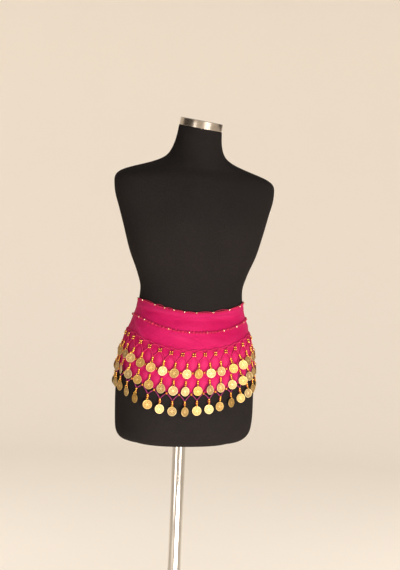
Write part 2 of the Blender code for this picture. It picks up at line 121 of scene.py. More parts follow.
class Finish:
    """A material whose nodes are added one by one and led to its shader."""

    def __init__(self, name, **constants):
        """Constants go on the shader's own sockets, with _ for a space in a socket's name."""
        self.material = bpy.data.materials.new(name)
        self.material.use_nodes = True
        self.tree = self.material.node_tree
        self.shader = self.tree.nodes["Principled BSDF"]
        for socket, value in constants.items():
            self.feed(socket.replace("_", " "), value)

    def feed(self, socket, value):
        """Lead a value or a wire to one of the shader's sockets."""
        self.join(self.shader.inputs[socket], value)

    def join(self, socket, value):
        """Set a socket to a value, or link a wire to it."""
        if isinstance(value, Wire):
            self.tree.links.new(value.socket, socket)
        else:
            socket.default_value = value

    def node(self, kind, settings, sockets, output=0):
        """Add a node: its settings first, then the values or wires of its sockets."""
        made = self.tree.nodes.new("ShaderNode" + kind)
        for name, value in settings.items():
            setattr(made, name, value)
        for socket, value in sockets.items():
            self.join(made.inputs[socket], value)
        return Wire(self, made.outputs[output])

    def math(self, operation, *values):
        """A Math node on one, two or three values or wires."""
        return self.node("Math", {"operation": operation}, dict(enumerate(values)))

    def ease(self, wire, low, high):
        """0 where the wire is under low, 1 where it is over high, and smooth between."""
        settings = {"interpolation_type": "SMOOTHSTEP"}
        return self.node("MapRange", settings, {"Value": wire, "From Min": low, "From Max": high})

    def mix(self, share, first, second):
        """Blend of two colours, all of the second where the share is 1."""
        return self.node("Mix", {"data_type": "RGBA"}, {0: share, 6: first, 7: second}, 2)

    def where(self, axis, kind="Object"):
        """Coordinate along x (0), y (1) or z (2): Object in metres, or of the piece's own UV map."""
        place = self.node("TexCoord", {}, {}, kind)
        return self.node("SeparateXYZ", {}, {0: place}, axis)

    def attribute(self, name):
        """Number that the mesh keeps at its points under a name."""
        return self.node("Attribute", {"attribute_name": name}, {}, "Fac")

    def noise(self, scale, detail=2.0, stretch=(1.0, 1.0, 1.0)):
        """Soft noise on Object coordinates, from 0 to 1, stretched along each axis."""
        place = self.node("TexCoord", {}, {}, "Object")
        place = self.node("Mapping", {}, {"Vector": place, "Scale": stretch})
        return self.node("TexNoise", {}, {"Vector": place, "Scale": scale, "Detail": detail})

    def relief(self, height, depth, strength=1.0):
        """Bump on the shader's normal from a height of 0 to 1 that stands for a real depth."""
        sockets = {"Height": height, "Distance": depth, "Strength": strength}
        self.feed("Normal", self.node("Bump", {}, sockets))


def rgb(red, green, blue):
    """Four numbers for a colour socket from a colour as it looks on screen, 0 to 255 each."""
    seen = np.array([red, green, blue]) / 255.0
    light = np.where(seen <= 0.04045, seen / 12.92, ((seen + 0.055) / 1.055) ** 2.4)
    return (*light.tolist(), 1.0)


def grid_faces(rows, columns, wrap_rows=False, wrap_columns=False):
    """Quads between neighbours in a grid of points kept row by row. They face along the direction
    of the columns crossed with that of the rows."""
    lower = np.arange(rows if wrap_rows else rows - 1)[:, None]
    left = np.arange(columns if wrap_columns else columns - 1)[None, :]
    upper, right = (lower + 1) % rows * columns, (left + 1) % columns
    lower = lower * columns
    corners = np.broadcast_arrays(lower + left, lower + right, upper + right, upper + left)
    return np.stack(corners, axis=-1).reshape(-1, 4)


def closed_tubes(rings, ends):
    """Points and blocks of faces of several closed tubes. Rings is (tube, ring, side, xyz), joined
    by quads. Ends is (tube, 2, xyz), and a fan closes the first and the last ring at each."""
    count, length, sides = rings.shape[:3]
    body = length * sides
    points = np.concatenate([rings.reshape(count, body, 3), ends], axis=1)
    side = np.arange(sides)
    after = (side + 1) % sides
    foot = np.stack([after, side, np.full(sides, body)], axis=-1)
    head = np.stack([body - sides + side, body - sides + after, np.full(sides, body + 1)], axis=-1)
    shift = (body + 2) * np.arange(count)[:, None, None]
    blocks = (grid_faces(length, sides, wrap_columns=True), foot, head)
    return points.reshape(-1, 3), [(block + shift).reshape(-1, block.shape[1]) for block in blocks]


def full_turn(steps):
    """Angles of a full turn in even steps, without the last one, which is the first again."""
    return np.linspace(0.0, 2.0 * math.pi, steps, endpoint=False)


def turned_rings(profile, steps):
    """Rings round the Z axis: a profile point of radius r and height z becomes the ring x = r cos t,
    y = r sin t."""
    radius, height = np.array(profile).T[:, :, None]
    angle = full_turn(steps)
    return np.stack(np.broadcast_arrays(radius * np.cos(angle), radius * np.sin(angle), height), axis=-1)


def turned(profile, steps):
    """One closed tube turned round the Z axis, its ends closed on the axis."""
    ends = [(0.0, 0.0, profile[0][1]), (0.0, 0.0, profile[-1][1])]
    return closed_tubes(turned_rings(profile, steps)[None], np.array([ends]))


def rounded(radius, height, size, start, end):
    """Profile points of a rounded edge: an arc round (radius, height), angles in degrees."""
    angle = np.radians(np.linspace(start, end, EDGE_STEPS))
    return np.stack([radius + size * np.cos(angle), height + size * np.sin(angle)], axis=-1)


def smooth_object(name, points, blocks, finish):
    """An object of the scene with a smooth mesh from points and blocks of faces."""
    mesh = bpy.data.meshes.new(name)
    mesh.from_pydata(points.reshape(-1, 3).tolist(), [], sum((block.tolist() for block in blocks), []))
    mesh.materials.append(finish.material)
    mesh.shade_smooth()
    return placed(name, mesh)


def add_piece(name, points, blocks, finish, slot, *nodes):
    """A smooth piece. It rides on the stand and stands for the nodes of the frame that it names.
    Its slot is not used."""
    piece = smooth_object(name, points, blocks, finish)
    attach(piece, "root")
    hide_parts(*nodes)
    return piece


satin_steel = Finish("satin_steel", Metallic=1.0)
base_circle = (satin_steel.where(0) ** 2.0 + satin_steel.where(1) ** 2.0) ** 0.5
brush_sockets = {"W": base_circle, "Scale": BRUSH_LINES, "Detail": 3.0}
brush_lines = satin_steel.node("TexNoise", {"noise_dimensions": "1D"}, brush_sockets)
satin_steel.feed("Base Color", satin_steel.mix(satin_steel.noise(6.0), STEEL, rgb(206, 200, 192)))
satin_steel.feed("Roughness", 0.24 + 0.16 * brush_lines)
satin_steel.relief(brush_lines, BRUSH_DEPTH)

base_low_edge = rounded(BASE_RADIUS - EDGE_SUPPORT, EDGE_SUPPORT, EDGE_SUPPORT, -90.0, 0.0)
base_edge = rounded(BASE_RADIUS - BASE_ROUND, BASE_THICKNESS - BASE_ROUND, BASE_ROUND, 0.0, 90.0)
base_profile = np.vstack([
    (BASE_RADIUS - 4.0 * EDGE_SUPPORT, 0.0), base_low_edge, base_edge,
    (BASE_RADIUS - BASE_ROUND - EDGE_SUPPORT, BASE_THICKNESS), (BASE_RADIUS / 2.0, BASE_THICKNESS),
])
add_piece("base_plate", *turned(base_profile, BASE_STEPS), satin_steel, "stand_steel", "base_disc")

# Collar and pole
# A polished steel tube that slides into the form, held at its foot by a turned collar whose skirt
# covers the screw. Both are plated and bright, with faint marks of handling.
COLLAR_RADIUS = 0.030
COLLAR_TOP_RADIUS = 0.021
COLLAR_HEIGHT = 0.026
COLLAR_EDGE = 0.0012
POLE_RADIUS = 0.0145
POLE_ROUND = 0.0008
POLE_STEPS = 96
POLE_RINGS = 30
POLE_RING_END = 0.002
SEAM_GAP = 0.0003
FORM_BOTTOM = 0.7255

bright_steel = Finish("bright_steel", Metallic=1.0)
marks = bright_steel.noise(38.0, 4.0, (1.0, 1.0, 0.35))
bright_steel.feed("Base Color", bright_steel.mix(marks, rgb(226, 222, 216), rgb(196, 190, 182)))
bright_steel.feed("Roughness", 0.09 + 0.10 * bright_steel.ease(marks, 0.42, 0.75))

collar_foot = BASE_THICKNESS + SEAM_GAP
collar_head = collar_foot + COLLAR_HEIGHT
collar_bend = collar_foot + COLLAR_HEIGHT / 3.0
collar_profile = np.vstack([
    (POLE_RADIUS + SEAM_GAP, collar_foot),
    rounded(COLLAR_RADIUS - COLLAR_EDGE, collar_foot + COLLAR_EDGE, COLLAR_EDGE, -90.0, 0.0),
    rounded(COLLAR_RADIUS - COLLAR_EDGE, collar_bend - COLLAR_EDGE, COLLAR_EDGE, 0.0, 50.0),
    rounded(COLLAR_TOP_RADIUS - COLLAR_EDGE, collar_head - COLLAR_EDGE, COLLAR_EDGE, 30.0, 90.0),
    (POLE_RADIUS + SEAM_GAP, collar_head),
])
add_piece("collar", *turned(collar_profile, POLE_STEPS), bright_steel, "pole_steel", "base_collar")

pole_head = FORM_BOTTOM - SEAM_GAP
pole_heights = np.linspace(collar_foot + POLE_RING_END, pole_head - POLE_RING_END, POLE_RINGS)
pole_profile = np.vstack([
    rounded(POLE_RADIUS - POLE_ROUND, collar_foot + POLE_ROUND, POLE_ROUND, -90.0, 0.0),
    np.stack([np.full(POLE_RINGS, POLE_RADIUS), pole_heights], axis=-1),
    rounded(POLE_RADIUS - POLE_ROUND, pole_head - POLE_ROUND, POLE_ROUND, 0.0, 90.0),
])
add_piece("pole", *turned(pole_profile, POLE_STEPS), bright_steel, "pole_steel", "stand_pole")

# Dress form
# A hard limbless torso covered all over with one skin of fine black jersey, pulled smooth. It swells
# softly at the chest, is flat underneath, and its neck leans forward to a round steel cap.
# Columns: height, half width, depth in front, depth behind, centre, squareness
FORM_SECTIONS = np.array([
    [0.7255, 0.0600, 0.045, 0.047, -0.004, 2.30],
    [0.7275, 0.0970, 0.069, 0.071, -0.006, 2.30],
    [0.7330, 0.1250, 0.088, 0.090, -0.009, 2.30],
    [0.7440, 0.1430, 0.100, 0.102, -0.013, 2.30],
    [0.7640, 0.1520, 0.109, 0.111, -0.018, 2.30],
    [0.8000, 0.1545, 0.112, 0.114, -0.020, 2.30],
    [0.8400, 0.1550, 0.112, 0.115, -0.019, 2.30],
    [0.8800, 0.1540, 0.111, 0.114, -0.019, 2.25],
    [0.9200, 0.1495, 0.108, 0.110, -0.021, 2.20],
    [0.9600, 0.1410, 0.103, 0.102, -0.024, 2.15],
    [1.0000, 0.1285, 0.096, 0.092, -0.027, 2.10],
    [1.0350, 0.1185, 0.089, 0.084, -0.030, 2.10],
    [1.0700, 0.1155, 0.087, 0.081, -0.032, 2.10],
    [1.1000, 0.1240, 0.089, 0.084, -0.033, 2.10],
    [1.1500, 0.1450, 0.095, 0.092, -0.035, 2.15],
    [1.2000, 0.1600, 0.096, 0.099, -0.036, 2.20],
    [1.2400, 0.1725, 0.094, 0.100, -0.035, 2.20],
    [1.2800, 0.1850, 0.087, 0.097, -0.034, 2.20],
    [1.3050, 0.1875, 0.079, 0.091, -0.033, 2.15],
    [1.3200, 0.1765, 0.077, 0.082, -0.026, 2.10],
    [1.3330, 0.1415, 0.079, 0.066, -0.016, 2.00],
    [1.3460, 0.0965, 0.074, 0.058, -0.017, 2.00],
    [1.3620, 0.0655, 0.062, 0.058, -0.027, 2.00],
    [1.3850, 0.0535, 0.052, 0.052, -0.036, 2.00],
    [1.4030, 0.0495, 0.048, 0.048, -0.041, 2.00],
    [1.4230, 0.0472, 0.047, 0.047, -0.045, 2.00],
])
SECTION_BLEND = 0.007
FORM_TOP = FORM_SECTIONS[-1, 0]
BUST_RISE = 0.014
BUST_APART = 0.072
BUST_WIDTH = 0.050
BUST_HEIGHT = 1.215
BUST_TALL = 0.048
NECK_FOOT = 1.355
NECK_TILT = math.radians(10.0)
NECK_LEAN = math.radians(5.0)
FORM_SIDES = 256
FORM_RINGS = 300
# share of the rings up to each height, so that they lie closest at the rim and the shoulders
RING_SHARES = (
    (0.0, FORM_BOTTOM), (0.10, 0.7440), (0.16, 0.7800), (0.66, 1.2700), (0.90, 1.3620), (1.0, FORM_TOP),
)
# ribs of the knit all round the form, the height of one of its rows, and its depth
WALES_ROUND = 760
COURSE_HEIGHT = 0.0012
KNIT_DEPTH = 0.00012


def section_slopes():
    """Slope of each section column at each section, for a curve that never overshoots: the
    harmonic mean of the rates on both sides, or level where the rates turn."""
    steps = np.diff(FORM_SECTIONS[:, :1], axis=0)
    rates = np.diff(FORM_SECTIONS[:, 1:], axis=0) / steps
    before, after = rates[:-1], rates[1:]
    turning = before * after <= 0.0
    inverse = (2.0 * steps[1:] + steps[:-1]) / np.where(turning, 1.0, before)
    inverse = inverse + (steps[1:] + 2.0 * steps[:-1]) / np.where(turning, 1.0, after)
    weight = 3.0 * (steps[1:] + steps[:-1])
    middle = np.where(turning, 0.0, weight / np.where(turning, 1.0, inverse))
    return np.vstack([rates[:1], middle, rates[-1:]])


SECTION_SLOPES = section_slopes()


def sharp_section(height):
    """Half width, both depths, centre and squareness of the form at each height, by cubic pieces
    between the sections. The last axis of the result holds the five values."""
    height = np.asarray(height, float)
    heights = FORM_SECTIONS[:, 0]
    row = np.clip(np.searchsorted(heights, height) - 1, 0, len(heights) - 2)
    span = (heights[row + 1] - heights[row])[..., None]
    t = (height - heights[row])[..., None] / span
    start, end = FORM_SECTIONS[row, 1:], FORM_SECTIONS[row + 1, 1:]
    leaving, arriving = SECTION_SLOPES[row] * span, SECTION_SLOPES[row + 1] * span
    return ((2 * t**3 - 3 * t**2 + 1) * start + (t**3 - 2 * t**2 + t) * leaving
            + (3 * t**2 - 2 * t**3) * end + (t**3 - t**2) * arriving)


def section(height):
    """The sections at heights, each blended with those a little below and above it."""
    reach = np.minimum(SECTION_BLEND, np.minimum(height - FORM_BOTTOM, FORM_TOP - height))
    around = sharp_section(height - reach) + sharp_section(height + reach)
    return (2.0 * sharp_section(height) + around) / 4.0


def smooth_step(value):
    """Ease from 0 to 1 as the value goes from 0 to 1: 3 v squared - 2 v cubed."""
    value = np.clip(value, 0.0, 1.0)
    return value * value * (3.0 - 2.0 * value)


def form_point(azimuth, height, lift=0.0):
    """Point of the form's surface moved out by the lift. Each ring is a rounded oval, x = width
    sin^(2/n) a, y = centre - depth cos^(2/n) a - bust, and the neck's rings lean to the cap."""
    azimuth, height, lift = np.broadcast_arrays(azimuth, height, lift)
    half_width, front, back, centre, square = np.moveaxis(section(height), -1, 0)
    sine, cosine = np.sin(azimuth), np.cos(azimuth)
    depth = np.where(cosine > 0.0, front, back)
    x = (half_width + lift) * np.sign(sine) * np.abs(sine) ** (2.0 / square)
    across = (np.abs(x) - BUST_APART) / BUST_WIDTH
    up = (height - BUST_HEIGHT) / BUST_TALL
    bust = BUST_RISE * np.exp(-across * across - up * up) * np.maximum(cosine, 0.0)
    y = centre - (depth + lift) * np.sign(cosine) * np.abs(cosine) ** (2.0 / square) - bust
    lean = smooth_step((height - NECK_FOOT) / (FORM_TOP - NECK_FOOT))
    slope = math.tan(NECK_TILT) * (y - centre) - math.tan(NECK_LEAN) * x
    return np.stack([x, y, height + slope * lean], axis=-1)


black_jersey = Finish("black_jersey", Roughness=0.85, Sheen_Weight=0.02, Sheen_Roughness=0.5)
black_jersey.feed("Sheen Tint", rgb(255, 240, 225))
black_jersey.feed("Specular IOR Level", 0.0)
round_form = black_jersey.math("ARCTAN2", black_jersey.where(0), -0.02 - black_jersey.where(1))
wales = black_jersey.math("SINE", round_form * (WALES_ROUND / 2.0))
courses = black_jersey.math("SINE", black_jersey.where(2) * (2.0 * math.pi / COURSE_HEIGHT) + 1.6 * wales)
knit = 0.5 + 0.25 * wales + 0.25 * courses
cover = black_jersey.mix(black_jersey.noise(7.0, 3.0), rgb(36, 33, 33), rgb(44, 40, 39))
grain = black_jersey.ease(black_jersey.noise(420.0, 2.0), 0.30, 0.70)
black_jersey.feed("Base Color", black_jersey.mix(0.25 * knit + 0.32 * grain, cover, rgb(18, 16, 16)))
black_jersey.relief(knit, KNIT_DEPTH, 0.6)

ring_share, ring_height = np.array(RING_SHARES).T
form_heights = np.interp(np.linspace(0.0, 1.0, FORM_RINGS), ring_share, ring_height)
form_rings = form_point(full_turn(FORM_SIDES)[None, :], form_heights[:, None])
form_ends = form_rings[[0, -1]].mean(axis=1)
form_mesh = closed_tubes(form_rings[None], form_ends[None])
add_piece("jersey_form", *form_mesh, black_jersey, "form_jersey", "dress_form")

# Neck cap
# A round of brushed stainless steel let onto the sloping neck. Its band is brushed round, so lights
# show in it as upright streaks, and its top is slightly crowned.
CAP_THICKNESS = 0.0175
CAP_RADIUS = 0.0470
CAP_ROUND = 0.0014
CAP_CROWN = 0.0006
CAP_STEPS = 128


def unit(vectors):
    """Vectors of length 1 along the last axis."""
    return vectors / np.linalg.norm(vectors, axis=-1, keepdims=True)


cap_steel = Finish("cap_steel", Metallic=1.0, Anisotropic=0.55)
cap_brush = cap_steel.noise(260.0, 3.0, (0.12, 0.12, 14.0))
cap_steel.feed("Base Color", cap_steel.mix(cap_brush, rgb(176, 164, 150), rgb(214, 204, 192)))
cap_steel.feed("Roughness", 0.17 + 0.12 * cap_brush)
cap_steel.relief(cap_brush, 0.00004)

cap_top = CAP_THICKNESS - CAP_CROWN
cap_profile = np.vstack([
    (CAP_RADIUS * 0.6, 0.0), (CAP_RADIUS - CAP_ROUND - EDGE_SUPPORT, 0.0),
    rounded(CAP_RADIUS - EDGE_SUPPORT, EDGE_SUPPORT, EDGE_SUPPORT, -90.0, 0.0),
    rounded(CAP_RADIUS - CAP_ROUND, cap_top - CAP_ROUND, CAP_ROUND, 0.0, 90.0),
    (CAP_RADIUS - CAP_ROUND - EDGE_SUPPORT, cap_top), (CAP_RADIUS * 0.5, CAP_THICKNESS),
])
cap_points, cap_blocks = turned(cap_profile, CAP_STEPS)
cap_outward = unit(np.array([math.tan(NECK_LEAN), -math.tan(NECK_TILT), 1.0]))
cap_aside = unit(np.cross((0.0, 1.0, 0.0), cap_outward))
cap_axes = np.stack([cap_aside, np.cross(cap_outward, cap_aside), cap_outward])
cap_foot = form_point(np.array([0.0, math.pi]), FORM_TOP).mean(axis=0) + SEAM_GAP * cap_outward
add_piece("steel_cap", cap_points @ cap_axes + cap_foot, cap_blocks, cap_steel, "stand_steel", "neck_cap")

# Belt cloth
# One band of hot pink chiffon, turned over along its top and tied round the hips. It creases at the
# form's right hip, puffs out between the net's threads and gathers at the tie. A lighter pink is
# painted on as a highlight on its crease ridges, its puffs and the turned-over strip at its top.
BELT_TURN = math.radians(-10.0)
# rows of the belt: height where lowest, rise to the hips, azimuth where lowest
TOP_EDGE = (1.0190, 0.025, -10.0)
MIDDLE_LINE = (0.9780, 0.033, -10.0)
CLUSTER_ROW = (0.9305, 0.040, -13.0)
UPPER_COINS = (0.9100, 0.042, -14.0)
UPPER_BEADS = (0.8915, 0.044, -15.0)
MIDDLE_COINS = (0.8730, 0.046, -16.0)
LOWER_BEADS = (0.8460, 0.051, -17.0)
LOWER_COINS = (0.8300, 0.054, -18.0)
HEM = (0.8480, 0.049, -15.0)
MEASURING_HEIGHT = 0.885
COLUMN_PITCH = 0.0265
COLUMN_DRIFT = 0.0075
COLUMNS = 30
EVEN_HEIGHT = 0.850
# the cloth's gap to the form, its wall in the frame, and the thinner wall that shows
CLOTH_GAP = 0.0009
CLOTH_WALL = 0.0013
CLOTH_THICKNESS = 0.0006
NET_OVER_CLOTH = 0.0027
TAPER_START = 0.392
CLOTH_END = 0.4205
CLOTH_REACH = 0.4325
TIE_DEPTH = 0.026
TIE_RISE = 0.0065
TURN_OVER = 0.014
TURN_OVER_RISE = 0.0005
TURN_OVER_STEP = 0.002
TURN_OVER_FADE = 0.006
EDGE_FADE = 0.003
GATHER_START = 0.300
GATHER_RISE = 0.0012
GATHERS = 4.0
# puffs of cloth in the net's cells: rise, share of it that is level with the cloth, height of a cell,
# and the way down from the clusters over which they grow
PUFF_RISE = 0.0016
PUFF_LEVEL = 0.3
CELL_HEIGHT = 0.041
CELL_START = 0.012
NET_COLUMNS = np.arange(-17, 18)
# painted highlight on the cloth: rise of a crease that gets all of it, shares for a puff and the top strip
HIGHLIGHT_RISE = 0.0060
HIGHLIGHT_PUFF = 0.65
HIGHLIGHT_STRIP = 0.2
CLOTH_COLUMNS = 480
CLOTH_ROWS = 72
# creases: azimuth and height where one starts and ends, rise (a trough is below 0), half width
CLOTH_CREASES = (
    (-94.0, 1.014, -48.0, 0.940, 0.0030, 0.0042),
    (50.0, 1.002, 102.0, 0.984, 0.0022, 0.0070),
    (112.0, 1.030, 142.0, 0.986, 0.0026, 0.0080),
    (-152.0, 0.986, -118.0, 1.025, 0.0024, 0.0080),
    (-96.0, 1.034, -26.0, 1.016, 0.0015, 0.0035),
    (-52.0, 1.008, 4.0, 1.000, -0.0008, 0.0070),
    (-12.0, 1.002, 52.0, 1.006, -0.0006, 0.0050),
    (2.0, 1.011, 36.0, 1.018, 0.0014, 0.0035),
    (20.0, 0.984, 58.0, 1.004, 0.0010, 0.0045),
    (-40.0, 0.978, -10.0, 0.960, 0.0013, 0.0042),
    (-38.0, 0.944, -34.0, 1.012, -0.0010, 0.0090),
    (-6.0, 0.964, 30.0, 0.950, 0.0009, 0.0060),
    (8.0, 0.950, 40.0, 0.978, 0.0009, 0.0055),
    (36.0, 0.955, 74.0, 0.972, 0.0012, 0.0060),
    (58.0, 0.942, 70.0, 1.000, 0.0011, 0.0050),
    (-84.0, 0.960, -64.0, 0.985, -0.0007, 0.0050),
    (120.0, 0.960, 158.0, 0.990, 0.0014, 0.0060),
    (-160.0, 0.960, -130.0, 0.982, 0.0013, 0.0060),
    (-112.0, 0.972, -86.0, 1.008, 0.0013, 0.0050),
)
CHIFFON = rgb(171, 17, 77)
CHIFFON_LIGHT = rgb(188, 29, 91)
CHIFFON_DEEP = rgb(146, 7, 56)
# pink of the painted highlight
CHIFFON_HIGHLIGHT = rgb(198, 50, 106)
WEAVE_THREAD = 0.00055
CRUMPLE_DEPTH = 0.0006
DEEPEST_CREASE = -0.0006


def belt_rule():
    """Azimuths against distances along the hips from the belt's middle, and half the way round."""
    azimuths = BELT_TURN + np.radians(np.arange(-200.0, 200.5, 0.5))
    points = form_point(azimuths, MEASURING_HEIGHT, CLOTH_GAP + NET_OVER_CLOTH)
    steps = np.linalg.norm(np.diff(points, axis=0), axis=-1)
    distances = np.concatenate([[0.0], np.cumsum(steps)])
    distances = distances - np.interp(BELT_TURN, azimuths, distances)
    turn = np.interp([BELT_TURN - math.pi, BELT_TURN + math.pi], azimuths, distances)
    return azimuths, distances, (turn[1] - turn[0]) / 2.0


RULE_AZIMUTHS, RULE_DISTANCES, HALF_GIRTH = belt_rule()


def belt_azimuth(distance):
    """Azimuth at each distance along the belt from its middle."""
    return np.interp(distance, RULE_DISTANCES, RULE_AZIMUTHS)


def row_height(row, distance):
    """Height of a belt row: lowest + rise sin^2 of the turn away from its lowest place, and level
    once that turn is a right angle."""
    lowest, rise, middle = row
    away = np.minimum(np.abs(belt_azimuth(distance) - math.radians(middle)), math.pi / 2.0)
    return lowest + rise * np.sin(away) ** 2


def column_distance(row, column):
    """Distance of columns of a net row from the belt's middle: pitch x column + drift sin^2. The
    net is pulled over at both hips, the more the higher a row lies."""
    drift = COLUMN_DRIFT * (row[0] - EVEN_HEIGHT) / (CLUSTER_ROW[0] - EVEN_HEIGHT)
    return column * COLUMN_PITCH + drift * np.sin(2.0 * math.pi * column / COLUMNS) ** 2


def taper(distance):
    """0 along the belt, 1 where its ends are drawn into the tie."""
    return smooth_step((np.abs(distance) - TAPER_START) / (CLOTH_END - TAPER_START))


def hem_line(distance):
    """Height of the hem, which runs up to the tie at both ends."""
    height = row_height(HEM, distance)
    return height + (row_height(TOP_EDGE, distance) - TIE_DEPTH - height) * taper(distance)


def add_values(piece, name, values):
    """Give each point of a mesh a number that its finish reads."""
    piece.data.attributes.new(name, "FLOAT", "POINT").data.foreach_set("value", values.ravel())


def crease_rise(azimuth, height):
    """Sum of the creases: each is a bell, exp(-(distance from its line / half width)^2), that
    fades with the sine of the way along it."""
    reach = section(MEASURING_HEIGHT)[0]
    rise = np.zeros(np.broadcast(azimuth, height).shape)
    for start, start_height, end, end_height, high, half_width in CLOTH_CREASES:
        run_across, run_up = math.radians(end - start) * reach, end_height - start_height
        across, up = (azimuth - math.radians(start)) * reach, height - start_height
        along = (across * run_across + up * run_up) / (run_across**2 + run_up**2)
        aside = np.hypot(across - run_across * along, up - run_up * along) / half_width
        rise = rise + high * np.sin(math.pi * np.clip(along, 0.0, 1.0)) * np.exp(-aside * aside)
    return rise


def cloth_point(distance, height, lift):
    """Point at a lift over the cloth's inner face, with its creases and its drawn-up ends."""
    azimuth = belt_azimuth(distance)
    rise = crease_rise(azimuth, height) + TIE_RISE * taper(distance)
    return form_point(azimuth, height, CLOTH_GAP + np.maximum(rise, DEEPEST_CREASE) + lift)


def add_uv(piece, values):
    """Give each corner of a mesh the UV of its point."""
    corner = np.zeros(len(piece.data.loops), int)
    piece.data.loops.foreach_get("vertex_index", corner)
    layer = piece.data.uv_layers.new(name="UVMap")
    layer.data.foreach_set("uv", values.reshape(-1, 2)[corner].ravel())


def add_wall(piece, thickness):
    """Give an open sheet its thickness, half to each side."""
    wall = piece.modifiers.new("wall", "SOLIDIFY")
    wall.thickness = thickness
    wall.offset = 0.0


chiffon = Finish("chiffon", Roughness=0.60, Sheen_Weight=0.16, Sheen_Roughness=0.40)
chiffon.feed("Sheen Tint", rgb(255, 70, 130))
chiffon.feed("Specular IOR Level", 0.06)
warp, weft = (chiffon.math("SINE", chiffon.where(axis, "UV") * (2.0 * math.pi / WEAVE_THREAD))
              for axis in (0, 1))
weave = 0.5 + 0.5 * warp * weft
slub = chiffon.noise(9.0, 4.0, (1.0, 1.0, 2.2))
dye_and_highlight = chiffon.mix(chiffon.ease(slub, 0.35, 0.70), CHIFFON, CHIFFON_LIGHT)
# painted highlight: lighter pink on the crease ridges, the puffs and the top strip
dye_and_highlight = chiffon.mix(chiffon.attribute("painted_highlight"), dye_and_highlight, CHIFFON_HIGHLIGHT)
chiffon.feed("Base Color", chiffon.mix(0.25 * weave, dye_and_highlight, CHIFFON_DEEP))
crumple = chiffon.noise(24.0, 3.0, (1.0, 1.0, 1.7))
chiffon.relief(0.14 * weave + 0.8 * chiffon.noise(70.0, 3.0) + 6.0 * crumple, CRUMPLE_DEPTH, 0.8)

cloth_distance = np.linspace(-CLOTH_REACH, CLOTH_REACH, CLOTH_COLUMNS + 1)[None, :]
cloth_share = np.linspace(0.0, 1.0, CLOTH_ROWS + 1)[:, None]
cloth_top = row_height(TOP_EDGE, cloth_distance)
cloth_hem = hem_line(cloth_distance)
cloth_height = cloth_hem + (cloth_top - cloth_hem) * cloth_share
from_top = cloth_top - cloth_height
turn_over_edge = TURN_OVER + TURN_OVER_STEP / 2.0
turn_over = TURN_OVER_RISE * smooth_step((turn_over_edge - from_top) / TURN_OVER_STEP)
gathering = smooth_step((np.abs(cloth_distance) - GATHER_START) / (CLOTH_END - GATHER_START))
gathers = GATHER_RISE * gathering * (0.5 + 0.5 * np.sin(2.0 * math.pi * GATHERS * cloth_share))
below_clusters = row_height(CLUSTER_ROW, cloth_distance) - cloth_height
under_net = smooth_step(below_clusters / CELL_START)
cloth_column = np.interp(cloth_distance, column_distance(CLUSTER_ROW, NET_COLUMNS), NET_COLUMNS)
cell_across, cell_down = math.pi * cloth_column, math.pi * below_clusters / CELL_HEIGHT
puffs = np.abs(np.sin(cell_across + cell_down) * np.sin(cell_across - cell_down))
cloth_lift = CLOTH_WALL / 2.0 + turn_over + gathers + PUFF_RISE * under_net * (puffs - PUFF_LEVEL)
cloth_points = cloth_point(cloth_distance, cloth_height, cloth_lift)
cloth_blocks = [grid_faces(CLOTH_ROWS + 1, CLOTH_COLUMNS + 1)]
cloth = add_piece("chiffon_band", cloth_points, cloth_blocks, chiffon, "belt_chiffon", "belt_cloth")
add_uv(cloth, np.stack(np.broadcast_arrays(cloth_distance, cloth_height), axis=-1))
# share of the painted highlight: from the creases' rise, the puffs in the net's cells and the turned-over
# strip at the top
lit_strip = smooth_step((TURN_OVER - from_top) / TURN_OVER_FADE) * smooth_step(from_top / EDGE_FADE)
highlight_share = crease_rise(belt_azimuth(cloth_distance), cloth_height) / HIGHLIGHT_RISE
highlight_share = highlight_share + HIGHLIGHT_PUFF * under_net * puffs + HIGHLIGHT_STRIP * lit_strip
add_values(cloth, "painted_highlight", np.clip(highlight_share, 0.0, 1.0))
add_wall(cloth, CLOTH_THICKNESS)

# Rolled hem
# The lower edge of the band and its two drawn-up ends are rolled narrow and sewn, in the same chiffon.
HEM_RADIUS = 0.0009
HEM_POINTS = 700
HEM_SIDES = 8


def cord(path, outward, radius, sides, offset=0.0, twist=0.0):
    """Closed round tubes along paths (tube, point, xyz): ring = path + radius (cos t out + sin t
    across), where across = direction x outward. With an offset the tube winds round the path,
    turned by the twist, which is an angle at each point."""
    direction = unit(np.gradient(path, axis=1))
    across = unit(np.cross(direction, outward))
    out = np.cross(across, direction)
    twist = np.broadcast_to(twist, path.shape[:2])[..., None]
    middle = path + offset * (np.cos(twist) * out + np.sin(twist) * across)
    angle = full_turn(sides)[None, None, :, None]
    spoke = np.cos(angle) * out[:, :, None] + np.sin(angle) * across[:, :, None]
    return closed_tubes(middle[:, :, None] + radius * spoke, middle[:, [0, -1]])


def outward_at(distance, height):
    """Direction out of the cloth."""
    return unit(cloth_point(distance, height, 0.01) - cloth_point(distance, height, 0.0))


def cloth_cord(distance, height, lift, radius, sides):
    """Round cords that run over the cloth, their middles at a lift over its inner face."""
    return cord(cloth_point(distance, height, lift), outward_at(distance, height), radius, sides)


hem_distance = np.linspace(-CLOTH_REACH, CLOTH_REACH, HEM_POINTS)[None, :]
hem_mesh = cloth_cord(hem_distance, hem_line(hem_distance), CLOTH_WALL / 2.0, HEM_RADIUS, HEM_SIDES)
hem = add_piece("rolled_hem", *hem_mesh, chiffon, "belt_chiffon", "belt_cloth")

